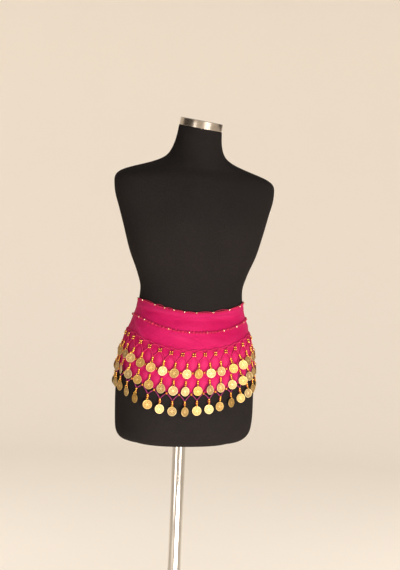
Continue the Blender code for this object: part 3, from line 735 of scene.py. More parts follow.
# Top edging
# A crochet chain of magenta thread worked along the turned edge, with loose loops of single thread
# above it and a small gold bead caught where two loops meet.
EDGING_RADIUS = 0.0012
EDGING_OVER_EDGE = 0.6 * EDGING_RADIUS
PLY_RADIUS = 0.00068
PLY_OFFSET = 0.00056
PLY_SIDES = 6
EDGE_PLY_RADIUS = 0.00100
EDGE_PLY_OFFSET = 0.00080
EDGE_LUMPS = 0.35
LUMP_LENGTH = 0.0093
SMALL_LUMP_LENGTH = 0.0041
THINNEST_PLY = 0.15
CHAIN_STITCH = 0.0046
CHAIN_POINTS_APART = 0.0007
LOOP_RADIUS = 0.00050
LOOP_RISE = 0.0034
LOOP_FULLNESS = 0.7
LOOP_MEAN = 0.75
LOOP_UNEVEN = 0.35
LOOP_CHANGE = 37.0
LOOP_POINTS = 22
LOOP_LIFT = CLOTH_WALL + 0.0004
BEAD_RADIUS = 0.0021
BEAD_LIFT = CLOTH_WALL + 0.0019
BEAD_STEP = 0.001
# a direction that no bead's hole follows
ODD_DIRECTION = np.array([0.31, 0.52, 0.79])
# places of the beads along the belt, read round the front and carried on unevenly to the back
TOP_BEADS = np.array([
    -0.405, -0.372, -0.330, -0.296, -0.250, -0.206, -0.163, -0.116, -0.088, -0.063, -0.035, -0.002,
    0.053, 0.108, 0.155, 0.198, 0.236, 0.281, 0.315, 0.352, 0.388, 0.410,
])


def merged(*meshes):
    """One list of points and one of face blocks from several meshes."""
    counts = np.cumsum([0] + [len(points) for points, _ in meshes])
    blocks = [block + start for (_, group), start in zip(meshes, counts) for block in group]
    return np.concatenate([points for points, _ in meshes]), blocks


def plied(distance, height, lift, radius=PLY_RADIUS, offset=PLY_OFFSET, stitch=CHAIN_STITCH):
    """Two plies over the cloth, wound round each other half a turn apart, one turn for each stitch
    length, so that they look like a crochet chain."""
    path, outward = cloth_point(distance, height, lift), outward_at(distance, height)
    steps = np.linalg.norm(np.diff(path, axis=1), axis=-1)
    run = np.concatenate([np.zeros((len(path), 1)), np.cumsum(steps, axis=1)], axis=1)
    turn = 2.0 * math.pi * run / stitch
    plies = [cord(path, outward, radius, PLY_SIDES, offset, turn + side) for side in (0.0, math.pi)]
    return merged(*plies)


def lumpy(radius, distance, share):
    """Radius of a chain's plies at each distance: radius (1 + share sin), two sines out of step."""
    turn = 2.0 * math.pi * distance
    waves = np.sin(turn / LUMP_LENGTH) + 0.5 * np.sin(turn / SMALL_LUMP_LENGTH)
    return radius * np.maximum(1.0 + share * waves, THINNEST_PLY)[..., None, None]


def balls(centres, axes, radius, rings=6, sides=8, squash=0.86):
    """Small beads: at polar angle p and turn t each point is centre + radius (sin p cos t a + sin p
    sin t b + squash cos p axis), where a and b are square to the bead's axis."""
    axes = unit(np.broadcast_to(axes, centres.shape))
    first = unit(np.cross(axes, ODD_DIRECTION))
    second = np.cross(axes, first)
    radius = np.broadcast_to(radius, centres.shape[:1])[:, None, None, None]
    polar = np.linspace(math.pi, 0.0, rings + 1)[1:-1][None, :, None, None]
    turn = full_turn(sides)[None, None, :, None]
    first, second, along = first[:, None, None], second[:, None, None], axes[:, None, None]
    around = np.sin(polar) * (np.cos(turn) * first + np.sin(turn) * second)
    rings_made = centres[:, None, None] + radius * (around + squash * np.cos(polar) * along)
    ends = centres[:, None] + radius[:, 0] * squash * axes[:, None] * np.array([-1.0, 1.0])[None, :, None]
    return closed_tubes(rings_made, ends)


def cloth_beads(distance, height, lift, radius):
    """Beads that lie over the cloth at a lift, with their holes along the belt."""
    axis = cloth_point(distance + BEAD_STEP, height, 0.0) - cloth_point(distance, height, 0.0)
    return balls(cloth_point(distance, height, lift), axis, radius)


def cotton(name, deep, light):
    """Finish of mercerised crochet cotton, mottled between two shades by its fibres."""
    made = Finish(name, Roughness=0.72, Sheen_Weight=0.15, Sheen_Roughness=0.4)
    made.feed("Sheen Tint", rgb(255, 140, 200))
    fibres = made.noise(900.0, 3.0)
    made.feed("Base Color", made.mix(made.ease(fibres, 0.30, 0.70), deep, light))
    made.relief(fibres, 0.00012, 0.7)
    return made


def gilding(name, fresh, worn, smooth, rougher):
    """Finish of small gilt beads, darker and rougher in spots where they are worn."""
    made = Finish(name, Metallic=1.0)
    wear = made.noise(220.0, 3.0)
    made.feed("Base Color", made.mix(made.ease(wear, 0.38, 0.72), fresh, worn))
    made.feed("Roughness", smooth + rougher * wear)
    return made


edging_cotton = cotton("edging_cotton", rgb(156, 4, 50), rgb(202, 16, 80))
pale_gold = gilding("pale_gold", rgb(255, 226, 196), rgb(246, 198, 150), 0.16, 0.12)

chain_count = int(2.0 * CLOTH_REACH / CHAIN_POINTS_APART)
edge_distance = np.linspace(-CLOTH_REACH, CLOTH_REACH, chain_count)[None, :]
edge_height = row_height(TOP_EDGE, edge_distance) + EDGING_OVER_EDGE
edge_radius = lumpy(EDGE_PLY_RADIUS, edge_distance, EDGE_LUMPS)
edge_chain = plied(edge_distance, edge_height, CLOTH_WALL, edge_radius, EDGE_PLY_OFFSET)

loop_share = np.linspace(0.0, 1.0, LOOP_POINTS)[None, :]
loop_distance = TOP_BEADS[:-1, None] + np.diff(TOP_BEADS)[:, None] * loop_share
loop_size = LOOP_MEAN + LOOP_UNEVEN * np.sin(LOOP_CHANGE * TOP_BEADS[:-1, None])
loop_arch = LOOP_RISE * (np.sin(math.pi * loop_share) ** LOOP_FULLNESS * loop_size)
loop_height = row_height(TOP_EDGE, loop_distance) + EDGING_RADIUS + loop_arch
loops = cloth_cord(loop_distance, loop_height, LOOP_LIFT, LOOP_RADIUS, PLY_SIDES)
add_piece("top_crochet", *merged(edge_chain, loops), edging_cotton, "crochet_thread", "top_edging")

bead_height = row_height(TOP_EDGE, TOP_BEADS) + EDGING_RADIUS
bead_mesh = cloth_beads(TOP_BEADS, bead_height, BEAD_LIFT, BEAD_RADIUS)
add_piece("top_beads", *bead_mesh, pale_gold, "gold_coins", "top_edging")

# Middle line
# A line of chain stitches across the cloth in the same thread. Each small gold bead on it sits in a
# ring of thread that holds it down.
MIDDLE_PLY_RADIUS = 0.00100
MIDDLE_PLY_OFFSET = 0.00110
MIDDLE_STITCH = 0.0110
MIDDLE_LUMPS = 0.80
MIDDLE_LIFT = CLOTH_WALL + MIDDLE_PLY_RADIUS
MIDDLE_BEAD_LIFT = CLOTH_WALL + 0.0014
BEAD_RING_RADIUS = 0.0025
BEAD_RING_LIFT = MIDDLE_LIFT + 0.0003
BEAD_RING_STEPS = 20
MIDDLE_BEADS = np.array([
    -0.372, -0.334, -0.290, -0.248, -0.202, -0.158, -0.135, -0.110, -0.068, -0.017, 0.031, 0.082,
    0.127, 0.163, 0.206, 0.252, 0.290, 0.338, 0.376,
])


def thread_rings(distance, height, lift, reach, steps, radius):
    """Rings of thread over the cloth: distance + reach cos t, height + reach sin t."""
    turn = np.linspace(0.0, 2.0 * math.pi, steps)[None, :]
    distance, height = distance[:, None] + reach * np.cos(turn), height[:, None] + reach * np.sin(turn)
    return cloth_cord(distance, height, lift, radius, PLY_SIDES)


middle_distance = np.linspace(-TAPER_START, TAPER_START, chain_count)[None, :]
middle_height = row_height(MIDDLE_LINE, middle_distance)
middle_radius = lumpy(MIDDLE_PLY_RADIUS, middle_distance, MIDDLE_LUMPS)
middle_plies = middle_radius, MIDDLE_PLY_OFFSET, MIDDLE_STITCH
middle_chain = plied(middle_distance, middle_height, MIDDLE_LIFT, *middle_plies)
bead_level = row_height(MIDDLE_LINE, MIDDLE_BEADS)
bead_ring_sizes = BEAD_RING_LIFT, BEAD_RING_RADIUS, BEAD_RING_STEPS, MIDDLE_PLY_RADIUS
middle_mesh = merged(middle_chain, thread_rings(MIDDLE_BEADS, bead_level, *bead_ring_sizes))
add_piece("middle_crochet", *middle_mesh, edging_cotton, "crochet_thread", "middle_edging")

bead_mesh = cloth_beads(MIDDLE_BEADS, bead_level, MIDDLE_BEAD_LIFT, BEAD_RADIUS)
add_piece("middle_beads", *bead_mesh, pale_gold, "gold_coins", "middle_edging")

# Crochet net
# A net of plied magenta thread hangs from a line sewn across the cloth. From each cluster of beads
# two strands arch to the coins beside it, and two more rows of diamonds hang from those.
FOUNDATION_RISE = 0.0095
FOUNDATION_SCALLOP = 0.0010
CLUSTER_HALF = 0.0026
KNOT_HALF = 0.0014
STRAND_POINTS = 22
STRAND_STITCH = 0.0052
STRAND_LIFT = NET_OVER_CLOTH - 0.0002
# how far the strands arch: those below and above the clusters, and those of the two hanging rows
UPPER_ARCH = 0.34
HEAD_ARCH = -0.4
MIDDLE_ARCH = 0.32
LOWER_ARCH = 0.20


def strands(starts, ends, arch):
    """Plied strands between places (strand, 2) given as distance and height. Each follows a curve
    with one control point: the middle of its ends, moved by the arch towards the corner that lies
    above its lower end, so that it leaves flat and arrives steep."""
    share = np.linspace(0.0, 1.0, STRAND_POINTS)[None, :, None]
    corner = np.stack([ends[:, 0], starts[:, 1]], axis=-1)
    middle = (starts + ends) / 2.0
    control = middle + (corner - middle) * arch
    starts, control, ends = starts[:, None], control[:, None], ends[:, None]
    way = (1.0 - share) ** 2 * starts + 2.0 * share * (1.0 - share) * control + share**2 * ends
    return plied(way[..., 0], way[..., 1], STRAND_LIFT, stitch=STRAND_STITCH)


def net_places(columns, row, up=0.0):
    """Distances and heights of columns of a net row, moved up."""
    distance = column_distance(row, columns)
    return np.stack([distance, row_height(row, distance) + up], axis=-1)


# side of a knot, and the knots of a row that have a neighbour there
SIDES = ((-0.5, slice(1, None)), (0.5, slice(None, -1)))


def hanging_strands(count, held_by, beads, coins_at, arch):
    """Strands of a hanging row: from the coin knots above down to the bead knots, and on from
    those to the coin knots of the row."""
    columns = np.arange(-count // 2, count // 2 + 1)
    knots = net_places(columns, beads)
    made = []
    for side, inner in SIDES:
        made.append(strands(net_places(columns + side, held_by, -KNOT_HALF), knots, -arch))
        made.append(strands(knots[inner], net_places(columns[inner] + side, coins_at, KNOT_HALF), arch))
    return merged(*made)


pink_cotton = cotton("pink_cotton", rgb(168, 8, 62), rgb(212, 22, 96))
plum_cotton = cotton("plum_cotton", rgb(116, 20, 74), rgb(160, 38, 108))
# darker thread for the cluster rings and the stems' threads; on the stems it also stands in for their
# shadows
dark_cotton_and_shadow = cotton("dark_cotton_and_shadow", rgb(110, 4, 30), rgb(160, 12, 50))
cluster_columns = np.arange(-COLUMNS // 2, COLUMNS // 2 + 1)
clusters = net_places(cluster_columns, CLUSTER_ROW)
line_distance = np.linspace(clusters[0, 0], clusters[-1, 0], chain_count)[None, :]
line_column = np.interp(line_distance, clusters[:, 0], cluster_columns)
line_scallop = FOUNDATION_SCALLOP * np.cos(2.0 * math.pi * line_column)
line_height = row_height(CLUSTER_ROW, line_distance) + FOUNDATION_RISE + line_scallop

upper = [plied(line_distance, line_height, MIDDLE_LIFT)]
for side, inner in SIDES:
    cluster_foot = clusters[inner] - (0.0, CLUSTER_HALF)
    cluster_head = clusters[inner] + (side * CLUSTER_HALF, CLUSTER_HALF)
    between = cluster_columns[inner] + side
    line_places = net_places(between, CLUSTER_ROW, FOUNDATION_RISE - FOUNDATION_SCALLOP)
    upper.append(strands(cluster_foot, net_places(between, UPPER_COINS, KNOT_HALF), UPPER_ARCH))
    upper.append(strands(cluster_head, line_places, HEAD_ARCH))
add_piece("upper_net", *merged(*upper), pink_cotton, "crochet_thread", "coin_row_upper")
middle_net = hanging_strands(COLUMNS - 2, UPPER_COINS, UPPER_BEADS, MIDDLE_COINS, MIDDLE_ARCH)
add_piece("middle_net", *middle_net, pink_cotton, "crochet_thread", "coin_row_middle")
lower_net = hanging_strands(COLUMNS - 4, MIDDLE_COINS, LOWER_BEADS, LOWER_COINS, LOWER_ARCH)
add_piece("lower_net", *lower_net, plum_cotton, "crochet_thread", "coin_row_lower")

# Beads of the net
# Small gold metal beads threaded on as the net is worked: one where the diamonds of a row meet, and
# four in each cluster, round a knot and inside a ring of darker thread.
CLUSTER_BEAD_RADIUS = 0.0019
CLUSTER_BEAD_APART = 0.0023
NET_BEAD_RADIUS = 0.0028
LOWER_BEAD_RADIUS = 0.0031
CLUSTER_RING = 0.0038
CLUSTER_RING_STEPS = 18
CLUSTER_THREAD = 0.0008
CLUSTER_KNOT = 0.0017
NET_BEAD_LIFT = STRAND_LIFT + 0.0008


def net_beads(places, radius):
    """Beads on the net at places given as distance and height."""
    return cloth_beads(*places.T, NET_BEAD_LIFT, radius)


gold = gilding("gilt_beads", rgb(250, 196, 92), rgb(236, 166, 62), 0.17, 0.12)
amber_gold = gilding("amber_gilt_beads", rgb(226, 150, 70), rgb(200, 118, 44), 0.28, 0.14)

cluster_ring_sizes = STRAND_LIFT, CLUSTER_RING, CLUSTER_RING_STEPS, CLUSTER_THREAD
cluster_threads = merged(thread_rings(*clusters.T, *cluster_ring_sizes), net_beads(clusters, CLUSTER_KNOT))
add_piece("cluster_threads", *cluster_threads, dark_cotton_and_shadow, "crochet_thread", "coin_row_upper")

cluster_corner = np.array([[-1.0, -1.0], [1.0, -1.0], [1.0, 1.0], [-1.0, 1.0]]) * CLUSTER_BEAD_APART
cluster_bead = (clusters[:, None] + cluster_corner).reshape(-1, 2)
upper_bead = net_places(cluster_columns[1:-1], UPPER_BEADS)
lower_bead = net_places(cluster_columns[2:-2], LOWER_BEADS)
for name, places, radius, finish, node in (
    ("cluster_beads", cluster_bead, CLUSTER_BEAD_RADIUS, gold, "coin_row_upper"),
    ("upper_diamond_beads", upper_bead, NET_BEAD_RADIUS, amber_gold, "coin_row_middle"),
    ("lower_diamond_beads", lower_bead, LOWER_BEAD_RADIUS, amber_gold, "coin_row_lower"),
):
    add_piece(name, *net_beads(places, radius), finish, "gold_coins", node)

# Coins
# Thin stamped gilt coins, each hung by a small ring through its edge from three beads, with a dark
# thread down either side of them that also stands in for the beads' shadows on the cloth. They bear
# a rim, dots and a rosette with painted shade in their low parts, and hang turned each its own way.
COIN_RADIUS = 0.0100
COIN_HALF = 0.0004
COIN_DROP = 0.0200
COIN_SIDES = 48
# how far the middle of an unturned coin is from the form, over the net and below the hem, and the
# turns of the coins in degrees
COIN_OVER_THREADS = 0.0046
COIN_OVER_FORM = 0.0030
UPPER_TURNS = (-10, 16, 1, 26, 36, 7, 6, -10, 0, -30, -2, -12, -18, 16, 1)
MIDDLE_TURNS = (9, -18, -2, 16, 34, 14, 6, -8, 16, -11, -5, -1, 21, 9, -15)
LOWER_TURNS = (10, 14, -3, -15, 23, 20, 6, -5, -9, 14, 24, -15, -19, 21, -28)
SWING = math.radians(4.0)
LITTLE_TURN = 0.01
DOTS = 16
PETALS = 6
COIN_CROWN = 1.7
BACK_RINGS = 5
# share of painted light on the coin's back, which gets painted shade
BACK_PAINTED_LIGHT = 0.6
TONE_SEED = 50
# radius of each bead of a stem, and how far it is below the knot
STEM_BEADS = ((0.0027, -0.0006), (0.0024, 0.0033), (0.0023, 0.0068))
LINK_DOWN = 0.0069
LINK_RADIUS = 0.0025
LINK_WIRE = 0.0007
LINK_TURN = math.radians(40.0)
LINK_STEPS = 16
STEM_THREAD_RADIUS = 0.0006
STEM_THREAD_ASIDE = 0.0027
STEM_THREAD_LENGTH = 0.0085
STEM_THREAD_POINTS = 9
# the coin's section from the middle of its back round to the middle of its face:
# radius over the coin's radius, height over half its thickness, height of dots, height of petals
COIN_SECTION = np.array([
    [0.40, -1.00, 0.0, 0.0],
    [0.82, -1.00, 0.0, 0.0],
    [0.93, -1.30, 0.0, 0.0],
    [0.985, -1.05, 0.0, 0.0],
    [1.000, 0.00, 0.0, 0.0],
    [0.985, 1.15, 0.0, 0.0],
    [0.940, 1.55, 0.0, 0.0],
    [0.880, 1.50, 0.0, 0.0],
    [0.835, 0.80, 0.0, 0.0],
    [0.780, 0.80, 0.0, 0.0],
    [0.715, 0.85, 0.8, 0.0],
    [0.650, 0.80, 0.0, 0.0],
    [0.600, 1.20, 0.0, 0.0],
    [0.550, 0.75, 0.0, 0.0],
    [0.400, 0.95, 0.0, 0.6],
    [0.240, 1.05, 0.0, 0.7],
    [0.110, 1.50, 0.0, 0.0],
])

coin_gold = Finish("stamped_gilt", Metallic=1.0)
coin_wear = coin_gold.noise(300.0, 4.0)
gilt = coin_gold.mix(coin_gold.attribute("tone"), rgb(232, 214, 166), rgb(216, 180, 108))
# painted shade: the low parts of each coin's relief and its back are darkened towards brown by the level
gilt = coin_gold.mix((1.0 - coin_gold.attribute("level")) * 0.9, gilt, rgb(152, 108, 44))
gilt = coin_gold.mix(0.5 * coin_gold.ease(coin_wear, 0.45, 0.8), gilt, rgb(190, 146, 74))
coin_gold.feed("Base Color", gilt)
coin_gold.feed("Roughness", 0.46 + 0.14 * coin_wear)
coin_gold.relief(coin_gold.noise(1400.0, 2.0), 0.00005, 0.6)


def coin_frames(count, row, lift, turns, seed):
    """Knot, centre and axes (face, up, out) of each coin of a row. The coin lies along the slope of
    the form, turned on its stem, and swings a little aside."""
    column = np.arange(-count // 2, count // 2)
    distance = column_distance(row, column + 0.5)
    height = row_height(row, distance)
    turn = np.radians(np.array(turns)[column % len(turns)])
    azimuth = belt_azimuth(distance)
    out = lift + COIN_RADIUS * np.abs(np.sin(turn))
    level = height - COIN_DROP
    centre = form_point(azimuth, level, out)
    up = unit(form_point(azimuth, level + COIN_RADIUS, out) - form_point(azimuth, level - COIN_RADIUS, out))
    beside = [form_point(azimuth + turned_by, level, out) for turned_by in (-LITTLE_TURN, LITTLE_TURN)]
    aside = unit(beside[1] - beside[0])
    outward = np.cross(aside, up)
    swing = SWING * np.random.default_rng(seed).uniform(-1.0, 1.0, len(column))[:, None]
    hang = up * np.cos(swing) + aside * np.sin(swing)
    centre = centre + COIN_DROP * (up - hang)
    aside = aside * np.cos(swing) - up * np.sin(swing)
    face = aside * np.cos(turn)[:, None] + outward * np.sin(turn)[:, None]
    knot = cloth_point(distance, height, STRAND_LIFT)
    return knot, centre, face, hang, np.cross(face, hang)


def add_coins(name, node, *frames):
    """Coins of one row: each point is centre + r cos t face + r sin t up + z out, with z from the
    section, dots that follow cos(16 t) and petals that follow cos(6 t). Their finish reads a level,
    which is high on the raised parts and lower in the recesses and on the back, where it paints
    shade, and a tone for each coin."""
    _, centre, face, up, out = coin_frames(*frames)
    sizes = COIN_RADIUS, COIN_HALF, COIN_HALF, COIN_HALF
    reach, level, dots, petals = (COIN_SECTION * sizes).T[:, :, None]
    angle = full_turn(COIN_SIDES)[None, :]
    relief = level + dots * np.cos(DOTS * angle) + petals * np.cos(PETALS * angle)
    rings = centre[:, None, None]
    for size, axis in ((reach * np.cos(angle), face), (reach * np.sin(angle), up), (relief, out)):
        rings = rings + size[None, ..., None] * axis[:, None, None]
    middle = np.array([-1.0, COIN_CROWN])[None, :, None] * COIN_HALF
    points, blocks = closed_tubes(rings, centre[:, None] + middle * out[:, None])
    piece = add_piece(name, points, blocks, coin_gold, "gold_coins", node)
    # share of painted light, 1 on the raised parts; the recesses and the back get painted shade
    painted_light_share = np.clip(relief / COIN_HALF - 0.5, 0.0, 1.0)
    painted_light_share[:BACK_RINGS] = BACK_PAINTED_LIGHT
    add_values(piece, "level", np.tile(np.append(painted_light_share.ravel(), [BACK_PAINTED_LIGHT, 1.0]), (len(centre), 1)))
    tone = np.random.default_rng(frames[-1] + TONE_SEED).uniform(0.0, 1.0, len(centre)) ** 1.5
    add_values(piece, "tone", np.repeat(tone, len(points) // len(centre)))


def link_rings(centre, first, second):
    """Small closed wire rings: centre + (R + w cos s)(cos t first + sin t second) + w sin s across."""
    around = full_turn(LINK_STEPS)[None, :, None, None]
    section_turn = full_turn(PLY_SIDES)[None, None, :, None]
    across = np.cross(second, first)[:, None, None]
    spoke = np.cos(around) * first[:, None, None] + np.sin(around) * second[:, None, None]
    points = centre[:, None, None] + (LINK_RADIUS + LINK_WIRE * np.cos(section_turn)) * spoke
    points = points + LINK_WIRE * np.sin(section_turn) * across
    faces = grid_faces(LINK_STEPS, PLY_SIDES, wrap_rows=True, wrap_columns=True)
    shift = LINK_STEPS * PLY_SIDES * np.arange(len(centre))[:, None, None]
    return points.reshape(-1, 3), [(faces + shift).reshape(-1, 4)]


def add_stems(name, node, *frames):
    """Beads and ring that carry each coin of a row, along the line from its knot, and the two
    dark threads beside them, which also stand in for the beads' shadows on the cloth: knot + length s
    down +- bow sin of s, for s from 0 to 1."""
    knot, centre, _, up, out = coin_frames(*frames)
    down = unit(centre - knot)
    beads = [balls(knot + below * down, down, radius) for radius, below in STEM_BEADS]
    across = np.cross(up, out)
    ring = link_rings(centre + up * (COIN_DROP - LINK_DOWN - LINK_RADIUS),
                      out * math.cos(LINK_TURN) - across * math.sin(LINK_TURN), up)
    add_piece(name, *merged(*beads, ring), gold, "gold_coins", node)

    # dark threads beside each stem, also a painted shadow of its beads on the cloth
    share = np.linspace(0.0, 1.0, STEM_THREAD_POINTS)[None, :, None]
    bow = STEM_THREAD_ASIDE * np.sin(math.pi * (0.12 + 0.80 * share))
    aside, down = unit(np.cross(down, out))[:, None], down[:, None]
    ways = [knot[:, None] + STEM_THREAD_LENGTH * share * down + side * bow * aside for side in (-1.0, 1.0)]
    threads = [cord(way, out[:, None], STEM_THREAD_RADIUS, PLY_SIDES) for way in ways]
    add_piece(name + "_threads", *merged(*threads), dark_cotton_and_shadow, "crochet_thread", node)


for name, node, *frames in (
    ("upper", "coin_row_upper", COLUMNS, UPPER_COINS, COIN_OVER_THREADS, UPPER_TURNS, 1),
    ("middle", "coin_row_middle", COLUMNS - 2, MIDDLE_COINS, COIN_OVER_THREADS, MIDDLE_TURNS, 2),
    ("lower", "coin_row_lower", COLUMNS - 4, LOWER_COINS, COIN_OVER_FORM, LOWER_TURNS, 3),
):
    add_coins(name + "_coins", node, *frames)
    add_stems(name + "_stems", node, *frames)

# Tie
# At the centre back the two drawn-up corners of the band are knotted, with one turn of cloth wrapped
# over the knot, and their ends hang down as two short, softly pleated tails.
KNOT_HALF_WIDTH = 0.0160
KNOT_HALF_DEPTH = 0.0105
KNOT_HALF_HEIGHT = 0.0150
KNOT_BELOW_EDGE = 0.014
KNOT_PLEATS = 7
KNOT_PLEAT_RISE = 0.07
KNOT_END = 0.97
KNOT_RINGS = 48
KNOT_SIDES = 96
WRAP_HALF_WIDTH = 0.0062
WRAP_THICKNESS = 0.0032
WRAP_SWAY = 0.003
WRAP_STEPS = 72
WRAP_SIDES = 20
TAIL_LENGTH = 0.125
TAIL_TOP_WIDTH = 0.012
TAIL_FOOT_WIDTH = 0.026
TAIL_SPREAD = 0.011
TAIL_WALL = 0.0016
TAIL_TOP_LIFT = 0.0070
TAIL_IN_KNOT = 0.004
TAIL_GAP = 0.002
TAIL_PLEATS = 2.0
TAIL_PLEAT_RISE = 0.0011
TAIL_PLEAT_SHIFT = 0.13
TAIL_COLUMNS = 28
TAIL_ROWS = 90

back = float(belt_azimuth(HALF_GIRTH))
knot_height = row_height(TOP_EDGE, HALF_GIRTH) - KNOT_BELOW_EDGE
knot_centre = form_point(back, knot_height, KNOT_HALF_DEPTH + 5.0 * SEAM_GAP)
knot_out = np.array([math.sin(back), -math.cos(back), 0.0])
knot_aside = np.array([math.cos(back), math.sin(back), 0.0])
knot_up = np.array([0.0, 0.0, 1.0])
knot_axes = np.stack([knot_aside * KNOT_HALF_WIDTH, knot_out * KNOT_HALF_DEPTH, knot_up * KNOT_HALF_HEIGHT])

polar = np.linspace(math.pi, 0.0, KNOT_RINGS + 2)[1:-1, None]
turn = full_turn(KNOT_SIDES)[None, :]
pleated = 1.0 - KNOT_PLEAT_RISE * (0.5 + 0.5 * np.cos(KNOT_PLEATS * turn + 3.0 * polar)) * np.sin(polar)
around = pleated * np.sin(polar)
along_knot = -np.cos(polar) * KNOT_END
ball = np.stack(np.broadcast_arrays(along_knot, around * np.sin(turn), around * np.cos(turn)), axis=-1)
knot_ends = np.array([[-KNOT_END, 0.0, 0.0], [KNOT_END, 0.0, 0.0]])
knot_points, knot_blocks = closed_tubes(ball[None], knot_ends[None])

wrap_turn = full_turn(WRAP_STEPS)[:, None]
wrap_section = full_turn(WRAP_SIDES)[None, :]
wrap_pleat = 1.0 + 0.10 * np.cos(4.0 * wrap_section + 2.0 * wrap_turn)
wrap_across = WRAP_HALF_WIDTH * wrap_pleat * np.cos(wrap_section) + WRAP_SWAY * np.sin(wrap_turn)
wrap_over = WRAP_THICKNESS * wrap_pleat * np.sin(wrap_section)
wrap_depth = (KNOT_HALF_DEPTH - WRAP_THICKNESS + wrap_over) * np.cos(wrap_turn)
wrap_rise = (KNOT_HALF_HEIGHT - WRAP_THICKNESS + wrap_over) * np.sin(wrap_turn)
wrap = np.stack([wrap_across, wrap_depth, wrap_rise], axis=-1) @ np.stack([knot_aside, knot_out, knot_up])
wrap_faces = grid_faces(WRAP_STEPS, WRAP_SIDES, wrap_rows=True, wrap_columns=True)[:, ::-1]
knot_mesh = merged((knot_points @ knot_axes, knot_blocks), (wrap.reshape(-1, 3), [wrap_faces]))
add_piece("chiffon_knot", knot_mesh[0] + knot_centre, knot_mesh[1], chiffon, "belt_chiffon", "tie_knot")

tail_down = np.linspace(1.0, 0.0, TAIL_ROWS + 1)[:, None]
tail_across = np.linspace(-0.5, 0.5, TAIL_COLUMNS + 1)[None, :]
tail_width = TAIL_TOP_WIDTH + (TAIL_FOOT_WIDTH - TAIL_TOP_WIDTH) * tail_down
tail_top = knot_height - KNOT_HALF_HEIGHT - SEAM_GAP + TAIL_IN_KNOT
level = tail_top - (TAIL_LENGTH + TAIL_IN_KNOT) * tail_down
tail_faces = [grid_faces(TAIL_ROWS + 1, TAIL_COLUMNS + 1)]
for name, side in (("tail_left", 1.0), ("tail_right", -1.0)):
    middle = side * (TAIL_TOP_WIDTH / 2.0 + TAIL_GAP + TAIL_SPREAD * tail_down)
    place = -HALF_GIRTH + middle + tail_width * tail_across
    pleat_turn = 2.0 * math.pi * TAIL_PLEATS * (tail_across + TAIL_PLEAT_SHIFT * side)
    pleat = TAIL_PLEAT_RISE * (0.5 + 0.5 * np.cos(pleat_turn))
    lift = CLOTH_GAP + TAIL_WALL / 2.0 + TAIL_TOP_LIFT * (1.0 - smooth_step(tail_down * 3.0)) + pleat
    points = form_point(belt_azimuth(place), level, lift)
    tail = add_piece(name, points, tail_faces, chiffon, "belt_chiffon", "tie_" + name)
    add_uv(tail, np.stack(np.broadcast_arrays(place, level), axis=-1))
    add_wall(tail, CLOTH_THICKNESS)

# Floor and light
# A plain pale floor that curves up all round into a wall, open to an even warm sky. A large soft
# light stands in front on the right, weaker ones in front on the left and low down, and two more light
# the wall behind.
FLOOR_RADIUS = 5.5
FLOOR_CURVE = 3.0
FLOOR_WALL = 5.0
FLOOR_STEPS = 160
FLOOR_CURVE_RINGS = 24
SKY = (1.0, 0.975, 0.945, 1.0)
SKY_STRENGTH = 0.68
LAMP = (1.0, 0.965, 0.92)
# name, distance to the camera's right, distance towards the camera, height, width, height of the
# light, power, and the distance beyond the form and the height that it is aimed at
LIGHTS = (
    ("key_light", 1.75, 2.55, 1.30, 1.7, 2.2, 28.5, 0.0, 0.97),
    ("front_light", -1.90, 2.20, 0.80, 1.4, 1.4, 17.0, 0.0, 0.84),
    ("low_light", 0.70, 1.50, 0.14, 1.4, 0.4, 36.0, 0.0, 0.44),
    ("left_wall_light", -2.60, -1.00, 1.60, 1.2, 1.2, 40.0, 8.0, 1.30),
    ("right_wall_light", 2.60, -1.00, 1.60, 1.2, 1.2, 40.0, 8.0, 1.30),
)
# dark grey cards that the camera doesn't see and that show in the steel cap: angle from the camera
# round the form, positive to the right, distance, width, foot and top
CARDS = (
    ("left_card", -72.0, 1.3, 1.8, 1.10, 2.4),
    ("right_card", 122.0, 1.5, 1.2, 1.3, 2.4),
)

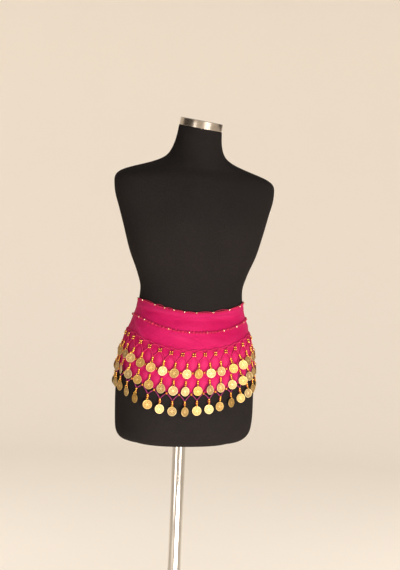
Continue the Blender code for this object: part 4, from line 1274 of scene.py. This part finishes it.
plain = Finish("plain_floor", Roughness=0.95)
plain.feed("Base Color", plain.mix(0.06 * plain.noise(3.0), rgb(251, 242, 230), rgb(222, 210, 194)))
curve_turn = np.radians(np.linspace(0.0, 90.0, FLOOR_CURVE_RINGS))
curve = [FLOOR_RADIUS + FLOOR_CURVE * np.sin(curve_turn), FLOOR_CURVE * (1.0 - np.cos(curve_turn))]
bowl_profile = np.vstack([
    (FLOOR_RADIUS / 2.0, 0.0), np.stack(curve, axis=-1), (FLOOR_RADIUS + FLOOR_CURVE, FLOOR_WALL),
])
bowl = turned_rings(bowl_profile, FLOOR_STEPS).reshape(-1, 3)
bowl_walls = grid_faces(len(bowl_profile), FLOOR_STEPS, wrap_columns=True)[:, ::-1]
bowl_side = np.arange(FLOOR_STEPS)
bowl_centre = np.full(FLOOR_STEPS, len(bowl))
bowl_middle = np.stack([bowl_side, (bowl_side + 1) % FLOOR_STEPS, bowl_centre], axis=-1)
bowl_points = np.concatenate([bowl, [[0.0, 0.0, 0.0]]])
smooth_object("floor", bowl_points, [bowl_walls, bowl_middle], plain)

card_grey = Finish("card_grey", Roughness=1.0)
card_grey.feed("Base Color", card_grey.mix(card_grey.noise(5.0), rgb(66, 62, 58), rgb(76, 71, 67)))
for name, angle, distance, wide, foot, top in CARDS:
    towards = view_aside * math.sin(math.radians(angle)) - view_forward * math.cos(math.radians(angle))
    across = Vector((-towards.y, towards.x, 0.0)) * (wide / 2.0)
    corners = [towards * distance + across * side + view_up * height for side, height in
               ((-1.0, foot), (1.0, foot), (1.0, top), (-1.0, top))]
    card = smooth_object(name, np.array(corners), [np.array([[0, 1, 2, 3]])], card_grey)
    card.visible_camera = False

world = bpy.data.worlds.new("even_sky")
world.use_nodes = True
world.node_tree.nodes["Background"].inputs["Color"].default_value = SKY
world.node_tree.nodes["Background"].inputs["Strength"].default_value = SKY_STRENGTH
bpy.context.scene.world = world

for name, right, near, height, wide, tall, power, beyond, aim in LIGHTS:
    lamp = bpy.data.lights.new(name, "AREA")
    lamp.shape = "RECTANGLE"
    lamp.size = wide
    lamp.size_y = tall
    lamp.energy = power
    lamp.color = LAMP
    light = placed(name, lamp)
    light.location = view_aside * right - view_forward * near + view_up * height
    towards = view_forward * beyond + view_up * aim - light.location
    light.rotation_euler = towards.to_track_quat("-Z", "Y").to_euler()

bpy.context.scene.view_settings.view_transform = "Standard"
